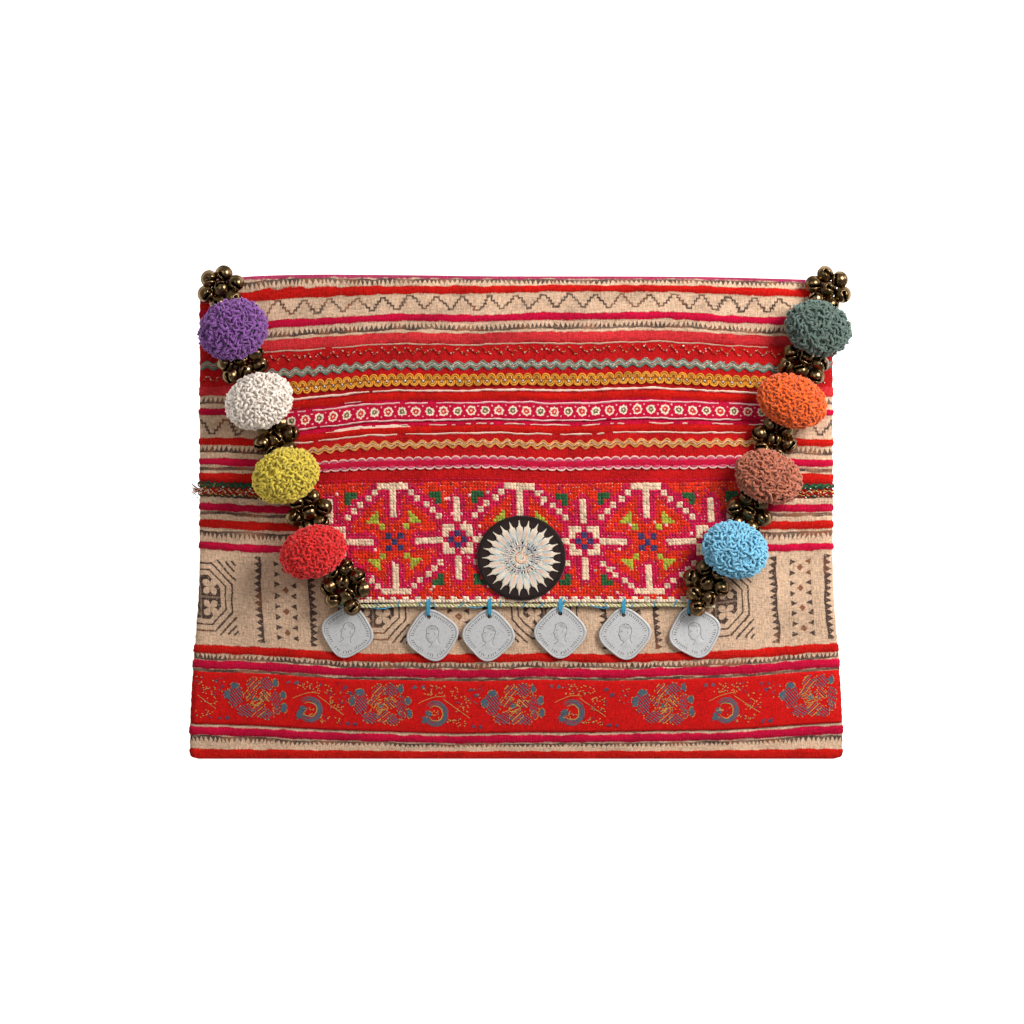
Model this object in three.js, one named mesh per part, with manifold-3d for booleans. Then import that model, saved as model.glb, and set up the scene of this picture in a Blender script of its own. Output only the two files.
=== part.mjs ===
// Envelope clutch of patchwork cloth, lying on its back with the flap shut.
// Millimetres, +Z up. X runs across the bag and Y from the bottom seam to the top fold.
import * as THREE from "three";
import { mergeVertices } from "three/addons/utils/BufferGeometryUtils.js";
import Module from "manifold-3d";

const wasm = await Module();
wasm.setup();
const { clamp, degToRad, lerp, smoothstep } = THREE.MathUtils;

// Bag sizes
const waistHalf = 145.5; // half the width from the middle of the bag up
const bottomFlare = 4.5; // how much wider the bottom is on each side
const flareLow = 10; // the flare is full up to this height
const flareHigh = 95; // and has gone at this one
const cornerRadius = 4; // round bottom corners
const foldHeight = 222; // bottom seam to top fold, on the centre line
const foldEnds = { left: 2.4, right: 2.2 }; // the fold lies this much lower at its ends
const foldRise = 0.9; // and this much higher between its middle and its left end
const hemBow = 0.3; // the hem lies this much lower at its ends
const rowSag = 4.6; // the front's lower rows hang this much lower in the middle
const mouthHeight = 210; // top edge of the front panel
const wall = 2; // quilted cloth
const gap = 0.3; // between pieces that touch
const fullness = 9; // hollow between the panels at its deepest
const mouthShare = 0.62; // share of that hollow left at the mouth
const edgeLift = 0.8; // the back's edges rise this much off the table
const ribRaise = 0.9; // sewn-on stripes stand this proud
const ribBevel = 0.6; // run of a stripe's rounded edge
const trimThick = 0.6; // ribbons and braids
const flapGap = 0.4; // flap above the front's stripes

// Flap sizes
const flapTopHalf = 142; // half width at the fold
const flapHemHalf = 87.5; // half width at the hem
const flapShift = 3.5; // the flap sits this far right of the bag's centre line
const hemRow = 72.2; // height of the flap's lower edge
const backSpan = 1; // row steps from the fold's outermost line to the join at the back
const cordRadius = 1.1; // twisted cord along the hem

// Small pieces
const bellRadius = 3.9;
const bellPitch = 7.2; // bells in a bunch touch, so they sit a little inside their width
const bellWaist = 0.92; // radius of the band round a bell's middle, as a share
const bellBand = 0.45; // and half its height
const bellRow = 6.1; // from one row of bells to the next
const bellDroop = 0.8; // bells past the fold stay tied at this share of its height
const bellSides = 10;
const slitWidth = 1.5; // at the middle of the slit
const slitDepth = 2;
const coinHalf = 10.25; // half the coin across its flats
const coinPower = 4; // squareness of the coin's outline
const coinThick = 1.2;
const coinRim = 1.3; // width of the raised rim
const coinRelief = 0.3;
const coinHole = 1; // radius of the hole
const holeInset = 8.7; // hole from the coin's middle, toward its top corner
const coinHeight = 57.1; // height of the coins' middles on the front
const medallionAcross = 20.4; // half sizes of the round patch
const medallionUp = 19.3;
const medallionThick = 1.6;
const sunRays = 25;
const sunTip = 17.8;
const sunValley = 12;
const sunRaise = 0.5;
const pompomUp = 10.6; // half height of its head
const pompomFoot = { across: 13, along: 8.4 }; // half sizes where bells press in under it
const footLevel = 0.8; // the head's lowest facets are pressed flat below this share
const headShare = 0.84; // head inside the tips of the locks
const lockRise = 1.6; // the top locks stand this far above the head
const lockUneven = 0.04; // the locks' lengths differ by this share either way

const clothStray = 0.12; // the front's hand-sewn rows and columns stray this far either way

// Columns across a panel, as shares of its half width
const panelColumns = [-1, -0.959, -0.8155, -0.449, 0.0137, 0.471, 0.8245, 0.961, 1];
const flapColumns = [-1, -0.88, -0.64, -0.32, 0, 0.32, 0.64, 0.88, 1];

// Raised stripes, from the lower edge to the upper one
const frontRibs = [
  { name: "red hem", from: 0, to: 4.8 },
  { name: "magenta", from: 11.5, to: 15.4 },
  { name: "magenta", from: 41.8, to: 45.8 },
  { name: "red", from: 48.8, to: 52.8 },
  { name: "magenta", from: 96.1, to: 99.5 },
  { name: "red", from: 106.1, to: 109.9 },
  { name: "magenta", from: 114, to: 117.4 },
  { name: "red", from: 128, to: 131.6 },
  { name: "magenta", from: 134.9, to: 138.3 },
  { name: "red", from: 144.2, to: 147.7 },
  { name: "magenta", from: 158.2, to: 161.3 },
  { name: "coral", from: 167.2, to: 171.6 },
];
const flapRibs = [
  { name: "red", from: 150.5, to: 153.7 },
  { name: "red", from: 165.4, to: 169 },
  { name: "coral", from: 191.9, to: 196.5 },
  { name: "magenta", from: 201.7, to: 205.1 },
  { name: "red", from: 214.4, to: 217.7 },
];

// Ribbons and braids, from the lower edge to the upper one, with rows between for the wide ones
const frontTrims = [
  { name: "brocade_ribbon", from: 16.6, to: 40.4, steps: 2, colour: 0xc81a16 },
  { name: "sparkle_trim", from: 120.4, to: 127, steps: 1, colour: 0x5a3a24 },
];
const flapTrims = [
  { name: "cross_stitch_panel", from: 73, to: 126.7, steps: 3, colour: 0xe0323a },
  { name: "picot_ribbon", from: 133.4, to: 138.9, steps: 1, colour: 0xd0306c },
  { name: "ricrac_tan", from: 142.9, to: 147.2, steps: 1, colour: 0xb08a4a },
  { name: "flower_ribbon", from: 155.8, to: 164.7, steps: 1, colour: 0xc01a58 },
  { name: "braid_gold", from: 172, to: 177.3, steps: 1, colour: 0xd8a830 },
  { name: "ricrac_green", from: 179.6, to: 183.6, steps: 1, colour: 0x8fa588 },
];

// Pompoms along the two slanting edges: middle, full sizes and colour
const pompoms = [
  { name: "purple", x: -129.3, y: 197.1, across: 33, along: 28, colour: 0x7048a8 },
  { name: "white", x: -117.8, y: 164, across: 31.7, along: 26.2, colour: 0xefe6dc },
  { name: "yellow", x: -105.2, y: 130, across: 31.2, along: 25.7, colour: 0xc9b93a },
  { name: "red", x: -93.3, y: 95.3, across: 32.2, along: 24.8, colour: 0xd83a3f },
  { name: "teal", x: 138, y: 197.8, across: 31.2, along: 25.7, colour: 0x4d7d78 },
  { name: "orange", x: 126.1, y: 164.2, across: 32.6, along: 24.8, colour: 0xee6a2c },
  { name: "rust", x: 115.5, y: 129.5, across: 30.8, along: 24.6, colour: 0xb8604a },
  { name: "blue", x: 100.4, y: 96.3, across: 31.2, along: 26.6, colour: 0x5fb2e6 },
];

// Bunches of bells: middle of the bunch and the bells in each row, from the top row down
const bunches = [
  { name: "left_1", x: -135.6, y: 216.2, rows: [2, 3, 2] },
  { name: "left_2", x: -125.4, y: 181.4, rows: [3, 3] },
  { name: "left_3", x: -110, y: 147.3, rows: [2, 3, 2] },
  { name: "left_4", x: -95, y: 113.4, rows: [2, 3, 2] },
  { name: "left_5", x: -78.4, y: 77.6, rows: [2, 3, 3, 1] },
  { name: "right_1", x: 143.2, y: 215.8, rows: [2, 3, 2] },
  { name: "right_2", x: 131.9, y: 181.2, rows: [3, 3] },
  { name: "right_3", x: 118.4, y: 147, rows: [2, 3, 2] },
  { name: "right_4", x: 106.8, y: 113.2, rows: [2, 3, 2] },
  { name: "right_5", x: 87.2, y: 77.8, rows: [2, 3, 2, 1] },
];

// Coins: middle across the bag and turn from standing on a corner
const coins = [
  { x: -77.4, turn: -14 },
  { x: -38.4, turn: 11 },
  { x: -12.7, turn: -3 },
  { x: 20.2, turn: 0 },
  { x: 50, turn: 5 },
  { x: 82, turn: 17 },
];

// Surfaces of the bag

function bagHalf(y) {
  const under = clamp(cornerRadius - y, 0, cornerRadius);
  const rounding = cornerRadius - Math.sqrt(cornerRadius ** 2 - under ** 2);
  return waistHalf + bottomFlare * (1 - smoothstep(y, flareLow, flareHigh)) - rounding;
}

function lift(s, y) {
  const nearSide = smoothstep(Math.abs(s), 0.88, 1);
  const nearBottom = 1 - smoothstep(y, 0, 11);
  return edgeLift * Math.max(nearSide, nearBottom);
}

function hollow(s, y) {
  const across = Math.max(1 - s * s, 0) ** 0.6;
  const rise = Math.sin(clamp(y / (0.36 * foldHeight), 0, 1) * Math.PI / 2) ** 0.8;
  const closing = lerp(1, mouthShare, smoothstep(y, 0.55 * foldHeight, 0.95 * foldHeight));
  return fullness * across * rise * closing;
}

function frontTop(x, y) {
  const s = clamp(x / bagHalf(y), -1, 1);
  return lift(s, y) + wall + gap + hollow(s, y) + wall;
}

function flapTop(x, y) {
  return frontTop(x, y) + ribRaise + flapGap + wall;
}

function frontPoint(row, s, above) {
  const sag = rowSag * smoothstep(row, 0, 14) * (1 - smoothstep(row, 55, 150));
  const stray = clothStray * (1 - s * s) * smoothstep(row, 0, 6);
  const y = row - sag * (1 - s * s) + stray * Math.sin(2.3 * row + 7 * s);
  const x = s * bagHalf(y) + stray * Math.sin(1.7 * row + 5 * s);
  return new THREE.Vector3(x, y, frontTop(x, y) + above);
}

function foldBow(s) {
  return s < 0 ? foldEnds.left * s ** 8 - foldRise * Math.min(-s / 0.64, 1) : foldEnds.right * s ** 4;
}

// The fold is a half round from the flap down to the back, smaller toward its ends.
function foldAt(s) {
  const x = flapShift + s * flapTopHalf;
  const edge = foldHeight - foldBow(s);
  const radius = flapTop(x, edge - 6) / 2;
  return { edge, radius, start: edge - radius };
}

// A point of the flap: up to the fold height a row is a height on the bag, past it a share of the way round.
function flapPoint(row, s, above) {
  const down = clamp((foldHeight - row) / (foldHeight - hemRow), 0, 1);
  const fold = foldAt(s);
  const x = flapShift + s * lerp(flapTopHalf, flapHemHalf, down);
  const y = row - lerp(foldBow(s), hemBow * s * s, down);
  if (row <= foldHeight && y <= fold.start) {
    return new THREE.Vector3(x, y, flapTop(x, y) + above);
  }
  const past = clamp((y - fold.start) / fold.radius, 0, 1);
  const quarter = Math.PI / 2;
  const turn = row <= foldHeight ? Math.asin(past) : quarter * (1 + (row - foldHeight) / backSpan);
  const reach = fold.radius + above;
  return new THREE.Vector3(x, fold.start + reach * Math.sin(turn), fold.radius + reach * Math.cos(turn));
}

// Closed bodies

function closed(points, triangles) {
  const geometry = new THREE.BufferGeometry();
  const flat = points.flatMap((p) => [p.x, p.y, p.z]);
  geometry.setAttribute("position", new THREE.Float32BufferAttribute(flat, 3));
  geometry.setIndex(triangles.flat());
  return geometry;
}

// Joins two edges of a rim that run the same way, whatever the rows of each.
function zip(upper, under) {
  const triangles = [];
  let i = 0;
  let k = 0;
  while (i < upper.length - 1 || k < under.length - 1) {
    const upperNext = i < upper.length - 1 ? upper[i + 1].key : Infinity;
    const underNext = k < under.length - 1 ? under[k + 1].key : Infinity;
    if (upperNext <= underNext) {
      triangles.push([upper[i].id, upper[i + 1].id, under[k].id]);
      i += 1;
    } else {
      triangles.push([upper[i].id, under[k + 1].id, under[k].id]);
      k += 1;
    }
  }
  return triangles;
}

// A sheet of cloth: an upper and an under grid over the same columns, closed round the rim.
function sheet(columns, upperRows, underRows, pointAt, under) {
  const points = [];
  const grid = (rows, offset) => rows.map((row) => columns.map((s) => {
    points.push(pointAt(row.at, s, row.raise + offset));
    return { id: points.length - 1, key: row.at, across: s };
  }));
  const top = grid(upperRows.map((r) => ({ at: r.at, raise: r.raise })), 0);
  const low = grid(underRows.map((at) => ({ at, raise: 0 })), -under);
  const triangles = [];
  const face = (cells, flip) => {
    for (let i = 0; i < cells.length - 1; i += 1) {
      for (let j = 0; j < columns.length - 1; j += 1) {
        const [a, b] = [cells[i][j].id, cells[i][j + 1].id];
        const [c, d] = [cells[i + 1][j + 1].id, cells[i + 1][j].id];
        triangles.push(flip ? [a, c, b] : [a, b, c], flip ? [a, d, c] : [a, c, d]);
      }
    }
  };
  face(top, false);
  face(low, true);
  const side = (cells, j, sign) => cells.map((row) => ({ id: row[j].id, key: sign * row[j].key }));
  const end = (row, sign) => row.map((cell) => ({ id: cell.id, key: sign * cell.across }));
  const last = columns.length - 1;
  triangles.push(...zip(side(top, 0, 1), side(low, 0, 1)));
  triangles.push(...zip(side(top, last, -1).reverse(), side(low, last, -1).reverse()));
  triangles.push(...zip(end(top.at(-1), 1), end(low.at(-1), 1)));
  triangles.push(...zip(end(top[0], -1).reverse(), end(low[0], -1).reverse()));
  return closed(points, triangles);
}

function toManifold(geometry) {
  const bare = new THREE.BufferGeometry();
  bare.setAttribute("position", geometry.getAttribute("position"));
  bare.setIndex(geometry.getIndex());
  const merged = mergeVertices(bare, 1e-4);
  const index = merged.getIndex().array;
  const position = merged.getAttribute("position").array;
  const kept = [];
  for (let t = 0; t < index.length; t += 3) {
    const corner = [index[t], index[t + 1], index[t + 2]];
    if (new Set(corner).size === 3) kept.push(...corner);
  }
  const vertProperties = Float32Array.from(position);
  const triVerts = Uint32Array.from(kept);
  return new wasm.Manifold(new wasm.Mesh({ numProp: 3, vertProperties, triVerts }));
}

function toGeometry(manifold) {
  const mesh = manifold.getMesh();
  const geometry = new THREE.BufferGeometry();
  geometry.setAttribute("position", new THREE.Float32BufferAttribute(mesh.vertProperties, 3));
  geometry.setIndex(Array.from(mesh.triVerts));
  return geometry;
}

function fuse(geometries) {
  return geometries.map(toManifold).reduce((sum, part) => sum.add(part));
}

const clutch = new THREE.Group();

function addNode(name, geometry, colour, roughness = 0.9, metalness = 0) {
  const material = new THREE.MeshStandardMaterial({ color: colour, roughness, metalness });
  const mesh = new THREE.Mesh(geometry, material);
  mesh.name = name;
  clutch.add(mesh);
}

// Panels and flap

function ribRows(ribs) {
  return ribs.flatMap((rib) => [
    { at: rib.from, raise: 0 },
    { at: rib.from + ribBevel, raise: ribRaise },
    { at: rib.to - ribBevel, raise: ribRaise },
    { at: rib.to, raise: 0 },
  ]);
}

function trimRows(trim) {
  const rows = [];
  for (let i = 0; i <= trim.steps; i += 1) rows.push(lerp(trim.from, trim.to, i / trim.steps));
  return rows;
}

function plainRows(heights) {
  return heights.map((at) => ({ at, raise: 0 }));
}

function inOrder(rows) {
  return rows.sort((a, b) => a.at - b.at);
}

const frontUnder = [0, 0.6, 4.2, 15.4, 28.5, 48.8, 67, 99.5, 131.6, 161.3, 185, mouthHeight];
const frontUpper = inOrder([
  ...ribRows(frontRibs),
  ...frontTrims.flatMap((trim) => plainRows(trimRows(trim))),
  ...plainRows([67, 82, 185, 198, mouthHeight]),
]);
addNode("front_panel", sheet(panelColumns, frontUpper, frontUnder, frontPoint, wall), 0xd9b48f);

function backPoint(row, s, above) {
  const fold = foldAt(clamp((s * waistHalf - flapShift) / flapTopHalf, -1, 1));
  const y = row * (fold.start - gap);
  const x = s * bagHalf(y);
  return new THREE.Vector3(x, y, lift(clamp(s, -1, 1), y) + wall + above);
}
const backRows = [0, 0.008, 0.022, 0.055, 0.2, 0.4, 0.6, 0.8, 1];
addNode("back_panel", sheet(panelColumns, plainRows(backRows), backRows, backPoint, wall), 0xcaa680);

const foldRows = [219.6, 221.2, 222, 222.33, 222.67, 223];
const flapUpper = inOrder([
  ...ribRows(flapRibs),
  ...flapTrims.flatMap((trim) => plainRows(trimRows(trim))),
  ...plainRows([hemRow, ...foldRows]),
]);
const flapUnder = [hemRow, 90.9, 108.8, 126.7, 147.2, 169, 191.9, 205.1, 214.4, 217.7, ...foldRows];
addNode("flap", sheet(flapColumns, flapUpper, flapUnder, flapPoint, wall), 0xb81c20);

for (const trim of frontTrims) {
  const rows = trimRows(trim);
  const pointAt = (row, s, above) => frontPoint(row, s * 0.995, above + gap + trimThick);
  addNode(trim.name, sheet(panelColumns, plainRows(rows), rows, pointAt, trimThick), trim.colour);
}
for (const trim of flapTrims) {
  const rows = trimRows(trim);
  const pointAt = (row, s, above) => flapPoint(row, s * 0.995, above + gap + trimThick);
  addNode(trim.name, sheet(flapColumns, plainRows(rows), rows, pointAt, trimThick), trim.colour);
}

// Hem cord along the flap's lower edge
const hemPath = new THREE.CatmullRomCurve3(flapColumns.map((s) => {
  const edge = flapPoint(hemRow, s, 0);
  return new THREE.Vector3(edge.x, edge.y - gap - cordRadius, edge.z - cordRadius - 0.1);
}));
const cordOutline = new THREE.Shape();
cordOutline.absarc(0, 0, cordRadius, 0, 2 * Math.PI);
const hemCord = new THREE.ExtrudeGeometry(cordOutline, {
  steps: 10,
  curveSegments: 3,
  extrudePath: hemPath,
});
addNode("hem_cord", toGeometry(toManifold(hemCord)), 0xd8dcb8);

// A frame standing on a surface: Z along the surface's normal and Y as near as can be to the given way up.
function seat(surface, x, y, above, up) {
  const step = 1;
  const slopeX = (surface(x + step, y) - surface(x - step, y)) / (2 * step);
  const slopeY = (surface(x, y + step) - surface(x, y - step)) / (2 * step);
  const normal = new THREE.Vector3(-slopeX, -slopeY, 1).normalize();
  const along = new THREE.Vector3(up.x, up.y, 0).projectOnPlane(normal).normalize();
  const across = new THREE.Vector3().crossVectors(along, normal);
  const place = new THREE.Vector3(x, y, surface(x, y)).addScaledVector(normal, above);
  return new THREE.Matrix4().makeBasis(across, along, normal).setPosition(place);
}

const bagUp = new THREE.Vector2(0, 1);
const dress = gap + trimThick; // ribbons stand this far above the flap
const trimSlope = (flapTopHalf - flapHemHalf) / (foldHeight - hemRow);

function edgeUp(x) {
  return new THREE.Vector2(Math.sign(x) * trimSlope, 1).normalize();
}

// Medallion: a round patch with a raised sun
const sun = new THREE.Shape();
for (let i = 0; i < 2 * sunRays; i += 1) {
  const reach = i % 2 ? sunValley : sunTip;
  const angle = Math.PI * i / sunRays;
  const [x, y] = [reach * Math.cos(angle), reach * Math.sin(angle)];
  if (i) sun.lineTo(x, y);
  else sun.moveTo(x, y);
}
sun.closePath();
const disc = new THREE.CylinderGeometry(1, 1, medallionThick, 28).rotateX(Math.PI / 2);
disc.scale(medallionAcross, medallionUp, 1).translate(0, 0, medallionThick / 2);
const rays = new THREE.ExtrudeGeometry(sun, { depth: medallionThick + sunRaise, bevelEnabled: false });
const rayBody = toManifold(rays.translate(0, 0, 0.1));
const medallion = toGeometry(toManifold(disc).add(rayBody));
medallion.applyMatrix4(seat(flapTop, 2.4, 92.5, dress + gap, bagUp));
addNode("medallion", medallion, 0x1c1820);

// Coins: a plate with a raised rim, a plain raised head and a hole at the top corner

// A plain head in profile, facing left, from the chest round to the throat
const profile = [
  { at: "chest", x: -4.2, y: -6 },
  { at: "shoulder", x: 3.9, y: -6 },
  { at: "neck", x: 2, y: -3.4 },
  { at: "nape", x: 2.5, y: -0.8 },
  { at: "back of head", x: 3, y: 2 },
  { at: "crown", x: 0.6, y: 4.6 },
  { at: "forehead", x: -2.2, y: 3.3 },
  { at: "brow", x: -2.4, y: 1.4 },
  { at: "nose", x: -3.3, y: -0.3 },
  { at: "lip", x: -2.5, y: -1.3 },
  { at: "chin", x: -2.3, y: -2.9 },
  { at: "throat", x: -0.9, y: -3.5 },
];

function coinOutline(half, count) {
  const points = [];
  for (let i = 0; i < count; i += 1) {
    const a = 2 * Math.PI * i / count;
    const reach = half / (Math.abs(Math.cos(a)) ** coinPower + Math.abs(Math.sin(a)) ** coinPower) ** (1 / coinPower);
    const turned = a + Math.PI / 4;
    points.push(new THREE.Vector2(reach * Math.cos(turned), reach * Math.sin(turned)));
  }
  return points;
}

function plate(outline, hole, depth) {
  const shape = new THREE.Shape(outline);
  if (hole) shape.holes.push(hole);
  return new THREE.ExtrudeGeometry(shape, { depth, bevelEnabled: false, curveSegments: 4 });
}

function coinGeometry() {
  const outline = coinOutline(coinHalf, 16);
  const rimHole = new THREE.Path(coinOutline(coinHalf - coinRim, 16).reverse());
  const base = toManifold(plate(outline, null, coinThick));
  const rim = toManifold(plate(outline, rimHole, coinThick + coinRelief));
  const drill = new THREE.CylinderGeometry(coinHole, coinHole, 4 * coinThick, 6).rotateX(Math.PI / 2);
  const above = coinThick + coinRelief;
  const head = toManifold(plate(profile.map((p) => new THREE.Vector2(p.x, p.y)), null, above));
  const body = base.add(rim).add(head).subtract(toManifold(drill.translate(0, holeInset, above / 2)));
  return toGeometry(body);
}

coins.forEach((coin, i) => {
  const turn = degToRad(coin.turn);
  const up = new THREE.Vector2(-Math.sin(turn), Math.cos(turn));
  const geometry = coinGeometry();
  geometry.applyMatrix4(seat(frontTop, coin.x, coinHeight, ribRaise + gap, up));
  addNode(`coin_${i + 1}`, geometry, 0xc9ccd2, 0.4, 1);
});

// Pompoms: a head with a lock of yarn standing on each of its upper facets

function pompomGeometry(pompom) {
  const ball = new THREE.IcosahedronGeometry(1, 1);
  ball.deleteAttribute("normal");
  ball.deleteAttribute("uv");
  const faceted = mergeVertices(ball, 1e-4);
  const position = faceted.getAttribute("position");
  const index = faceted.getIndex().array;
  const ways = Array.from({ length: position.count }, (_, i) => new THREE.Vector3().fromBufferAttribute(position, i));
  const points = ways.map((way) => {
    const wide = smoothstep(way.z, -0.5, 0.02);
    const across = lerp(pompomFoot.across, headShare * pompom.across / 2, wide);
    const along = lerp(pompomFoot.along, headShare * pompom.along / 2, wide);
    const height = way.z < 0 ? Math.max(way.z / footLevel, -1) : way.z;
    return new THREE.Vector3(across * way.x, along * way.y, pompomUp * height);
  });
  const triangles = [];
  for (let t = 0; t < index.length; t += 3) {
    const [a, b, c] = [index[t], index[t + 1], index[t + 2]];
    const way = new THREE.Vector3().add(ways[a]).add(ways[b]).add(ways[c]).normalize();
    if (way.z < 0.1) {
      triangles.push([a, b, c]);
      continue;
    }
    const uneven = 1.05 + lockUneven * Math.sin(2.3 * t);
    points.push(new THREE.Vector3(pompom.across / 2, pompom.along / 2, pompomUp + lockRise).multiply(way)
      .multiplyScalar(uneven));
    const tip = points.length - 1;
    triangles.push([a, b, tip], [b, c, tip], [c, a, tip]);
  }
  return closed(points, triangles);
}

for (const pompom of pompoms) {
  const geometry = pompomGeometry(pompom);
  geometry.applyMatrix4(seat(flapTop, pompom.x, pompom.y, dress + gap + pompomUp, edgeUp(pompom.x)));
  addNode(`pompom_${pompom.name}`, geometry, pompom.colour);
}

// Bells: a ball with a slit, bunched in rows across the edge and fused where they touch

// Height of a bell's middle, over the flap, over its fold and past its edges.
function bellHeight(x, y) {
  const fold = foldAt(clamp((x - flapShift) / flapTopHalf, -1, 1));
  const clear = dress + gap + bellRadius;
  if (y <= fold.start) {
    const slope = (flapTop(x + 1, y) - flapTop(x - 1, y)) / 2;
    return flapTop(x, y) + clear * Math.hypot(1, slope);
  }
  const reach = fold.radius + clear;
  return fold.radius + Math.sqrt(Math.max(reach ** 2 - (y - fold.start) ** 2, (bellDroop * reach) ** 2));
}

// One bell, with a band round its middle and a boat-shaped slit across its top.
function bellGeometry() {
  const points = [];
  const add = (x, y, z) => points.push(new THREE.Vector3(x, y, z)) - 1;
  const ring = (height) => Array.from({ length: bellSides }, (_, i) => {
    const a = 2 * Math.PI * i / bellSides;
    return add(bellWaist * bellRadius * Math.cos(a), bellWaist * bellRadius * Math.sin(a), height);
  });
  const low = ring(-bellBand * bellRadius);
  const high = ring(bellBand * bellRadius);
  const base = add(0, 0, -bellRadius);
  const lips = [add(0, slitWidth / 2, bellRadius), add(0, -slitWidth / 2, bellRadius)];
  const floor = add(0, 0, bellRadius - slitDepth);
  const triangles = [];
  for (let i = 0; i < bellSides; i += 1) {
    const next = (i + 1) % bellSides;
    triangles.push([low[i], low[next], high[next]], [low[i], high[next], high[i]]);
    triangles.push([low[next], low[i], base]);
    triangles.push([high[i], high[next], lips[i < bellSides / 2 ? 0 : 1]]);
  }
  const [from, to] = [high[0], high[bellSides / 2]];
  triangles.push([from, lips[0], floor], [lips[0], to, floor], [to, lips[1], floor], [lips[1], from, floor]);
  return closed(points, triangles);
}

function bellBody(place, seed) {
  const lean = new THREE.Euler(0.45 + 0.7 * Math.sin(5.1 * seed), 0.6 * Math.cos(3.7 * seed), 2.4 * seed, "ZYX");
  const turn = new THREE.Matrix4().makeRotationFromEuler(lean).setPosition(place);
  return toManifold(bellGeometry().applyMatrix4(turn));
}

bunches.forEach((bunch, b) => {
  const up = edgeUp(bunch.x);
  const middle = (bunch.rows.length - 1) / 2;
  const bodies = bunch.rows.flatMap((count, r) => Array.from({ length: count }, (_, i) => {
    const across = bellPitch * (i - (count - 1) / 2);
    const along = bellRow * (middle - r);
    const x = bunch.x + across * up.y + along * up.x;
    const y = bunch.y - across * up.x + along * up.y;
    return bellBody(new THREE.Vector3(x, y, bellHeight(x, y)), 7 * b + 3 * r + i);
  }));
  addNode(`bells_${bunch.name}`, toGeometry(bodies.reduce((sum, bell) => sum.add(bell))), 0x6e5830, 0.45, 1);
});

// The origin is under the middle of the whole.
const bounds = new THREE.Box3().setFromObject(clutch);
const middle = bounds.getCenter(new THREE.Vector3());
clutch.position.set(-middle.x, -middle.y, -bounds.min.z);

const part = new THREE.Group();
part.name = "envelope_clutch";
part.add(clutch);
export default part;
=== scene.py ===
# Envelope clutch: cloth, trims, yarn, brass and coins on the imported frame
import math

import bmesh
import bpy
import numpy as np
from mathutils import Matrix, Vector


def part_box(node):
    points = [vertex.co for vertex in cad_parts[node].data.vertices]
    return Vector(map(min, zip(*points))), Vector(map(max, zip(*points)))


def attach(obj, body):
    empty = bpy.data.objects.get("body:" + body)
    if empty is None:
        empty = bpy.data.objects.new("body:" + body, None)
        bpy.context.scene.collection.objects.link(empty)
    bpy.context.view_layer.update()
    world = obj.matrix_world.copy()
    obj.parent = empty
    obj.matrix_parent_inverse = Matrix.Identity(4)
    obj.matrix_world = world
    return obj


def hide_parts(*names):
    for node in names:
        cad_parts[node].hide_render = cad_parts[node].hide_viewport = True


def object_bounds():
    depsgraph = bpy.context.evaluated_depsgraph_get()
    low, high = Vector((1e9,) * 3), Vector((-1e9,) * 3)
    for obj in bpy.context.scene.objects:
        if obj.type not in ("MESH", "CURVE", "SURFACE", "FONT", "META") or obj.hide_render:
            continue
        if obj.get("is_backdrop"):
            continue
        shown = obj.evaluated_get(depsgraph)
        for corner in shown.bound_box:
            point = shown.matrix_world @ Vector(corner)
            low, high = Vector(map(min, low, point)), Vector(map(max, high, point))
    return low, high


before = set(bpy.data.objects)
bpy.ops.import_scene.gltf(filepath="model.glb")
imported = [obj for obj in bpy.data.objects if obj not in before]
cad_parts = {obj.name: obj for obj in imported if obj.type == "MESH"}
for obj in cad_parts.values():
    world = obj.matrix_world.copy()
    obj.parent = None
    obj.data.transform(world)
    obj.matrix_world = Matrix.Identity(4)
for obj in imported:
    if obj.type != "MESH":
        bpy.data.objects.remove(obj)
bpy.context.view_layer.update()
scene = bpy.context.scene
chance = np.random.default_rng(11)

# Form of the bag in millimetres: x from its middle, y from its bottom seam, z from the table
bag = {
    "waistHalf": 145.5, "bottomFlare": 4.5, "corner": 4.0,
    "foldHeight": 222.0, "foldLeft": 2.4, "foldRight": 2.2, "foldRise": 0.9,
    "rowSag": 4.6, "mouthHeight": 210.0,
    "wall": 2.0, "gap": 0.3, "fullness": 9.0, "mouthShare": 0.62, "edgeLift": 0.8,
    "ribRaise": 0.9, "flapGap": 0.4, "trimThick": 0.6,
    "flapTopHalf": 142.0, "flapHemHalf": 87.5, "flapShift": 3.5, "hemRow": 72.2, "backSpan": 1.0,
}
dress = bag["gap"] + bag["trimThick"]  # ribbons stand this far above the flap
frontLow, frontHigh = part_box("front_panel")
middle = np.array([(frontLow[0] + frontHigh[0]) * 500, frontLow[1] * 1000, 0.0])


def metres(points):
    return (np.asarray(points, float) + middle) * 0.001


def ease(value, low, high):
    t = np.clip((value - low) / (high - low), 0, 1)
    return t * t * (3 - 2 * t)


def bagHalf(y):
    under = np.clip(bag["corner"] - y, 0, bag["corner"])
    rounding = bag["corner"] - np.sqrt(bag["corner"] ** 2 - under ** 2)
    return bag["waistHalf"] + bag["bottomFlare"] * (1 - ease(y, 10, 95)) - rounding


def edgeRise(s, y):
    return bag["edgeLift"] * np.maximum(ease(np.abs(s), 0.88, 1), 1 - ease(y, 0, 11))


def frontTop(x, y):
    s = np.clip(x / bagHalf(y), -1, 1)
    up = np.sin(np.clip(y / (0.36 * bag["foldHeight"]), 0, 1) * math.pi / 2) ** 0.8
    mouth = 1 + (bag["mouthShare"] - 1) * ease(y, 0.55 * bag["foldHeight"], 0.95 * bag["foldHeight"])
    hollow = bag["fullness"] * np.maximum(1 - s ** 2, 0) ** 0.6 * up * mouth
    return edgeRise(s, y) + 2 * bag["wall"] + bag["gap"] + hollow


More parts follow.
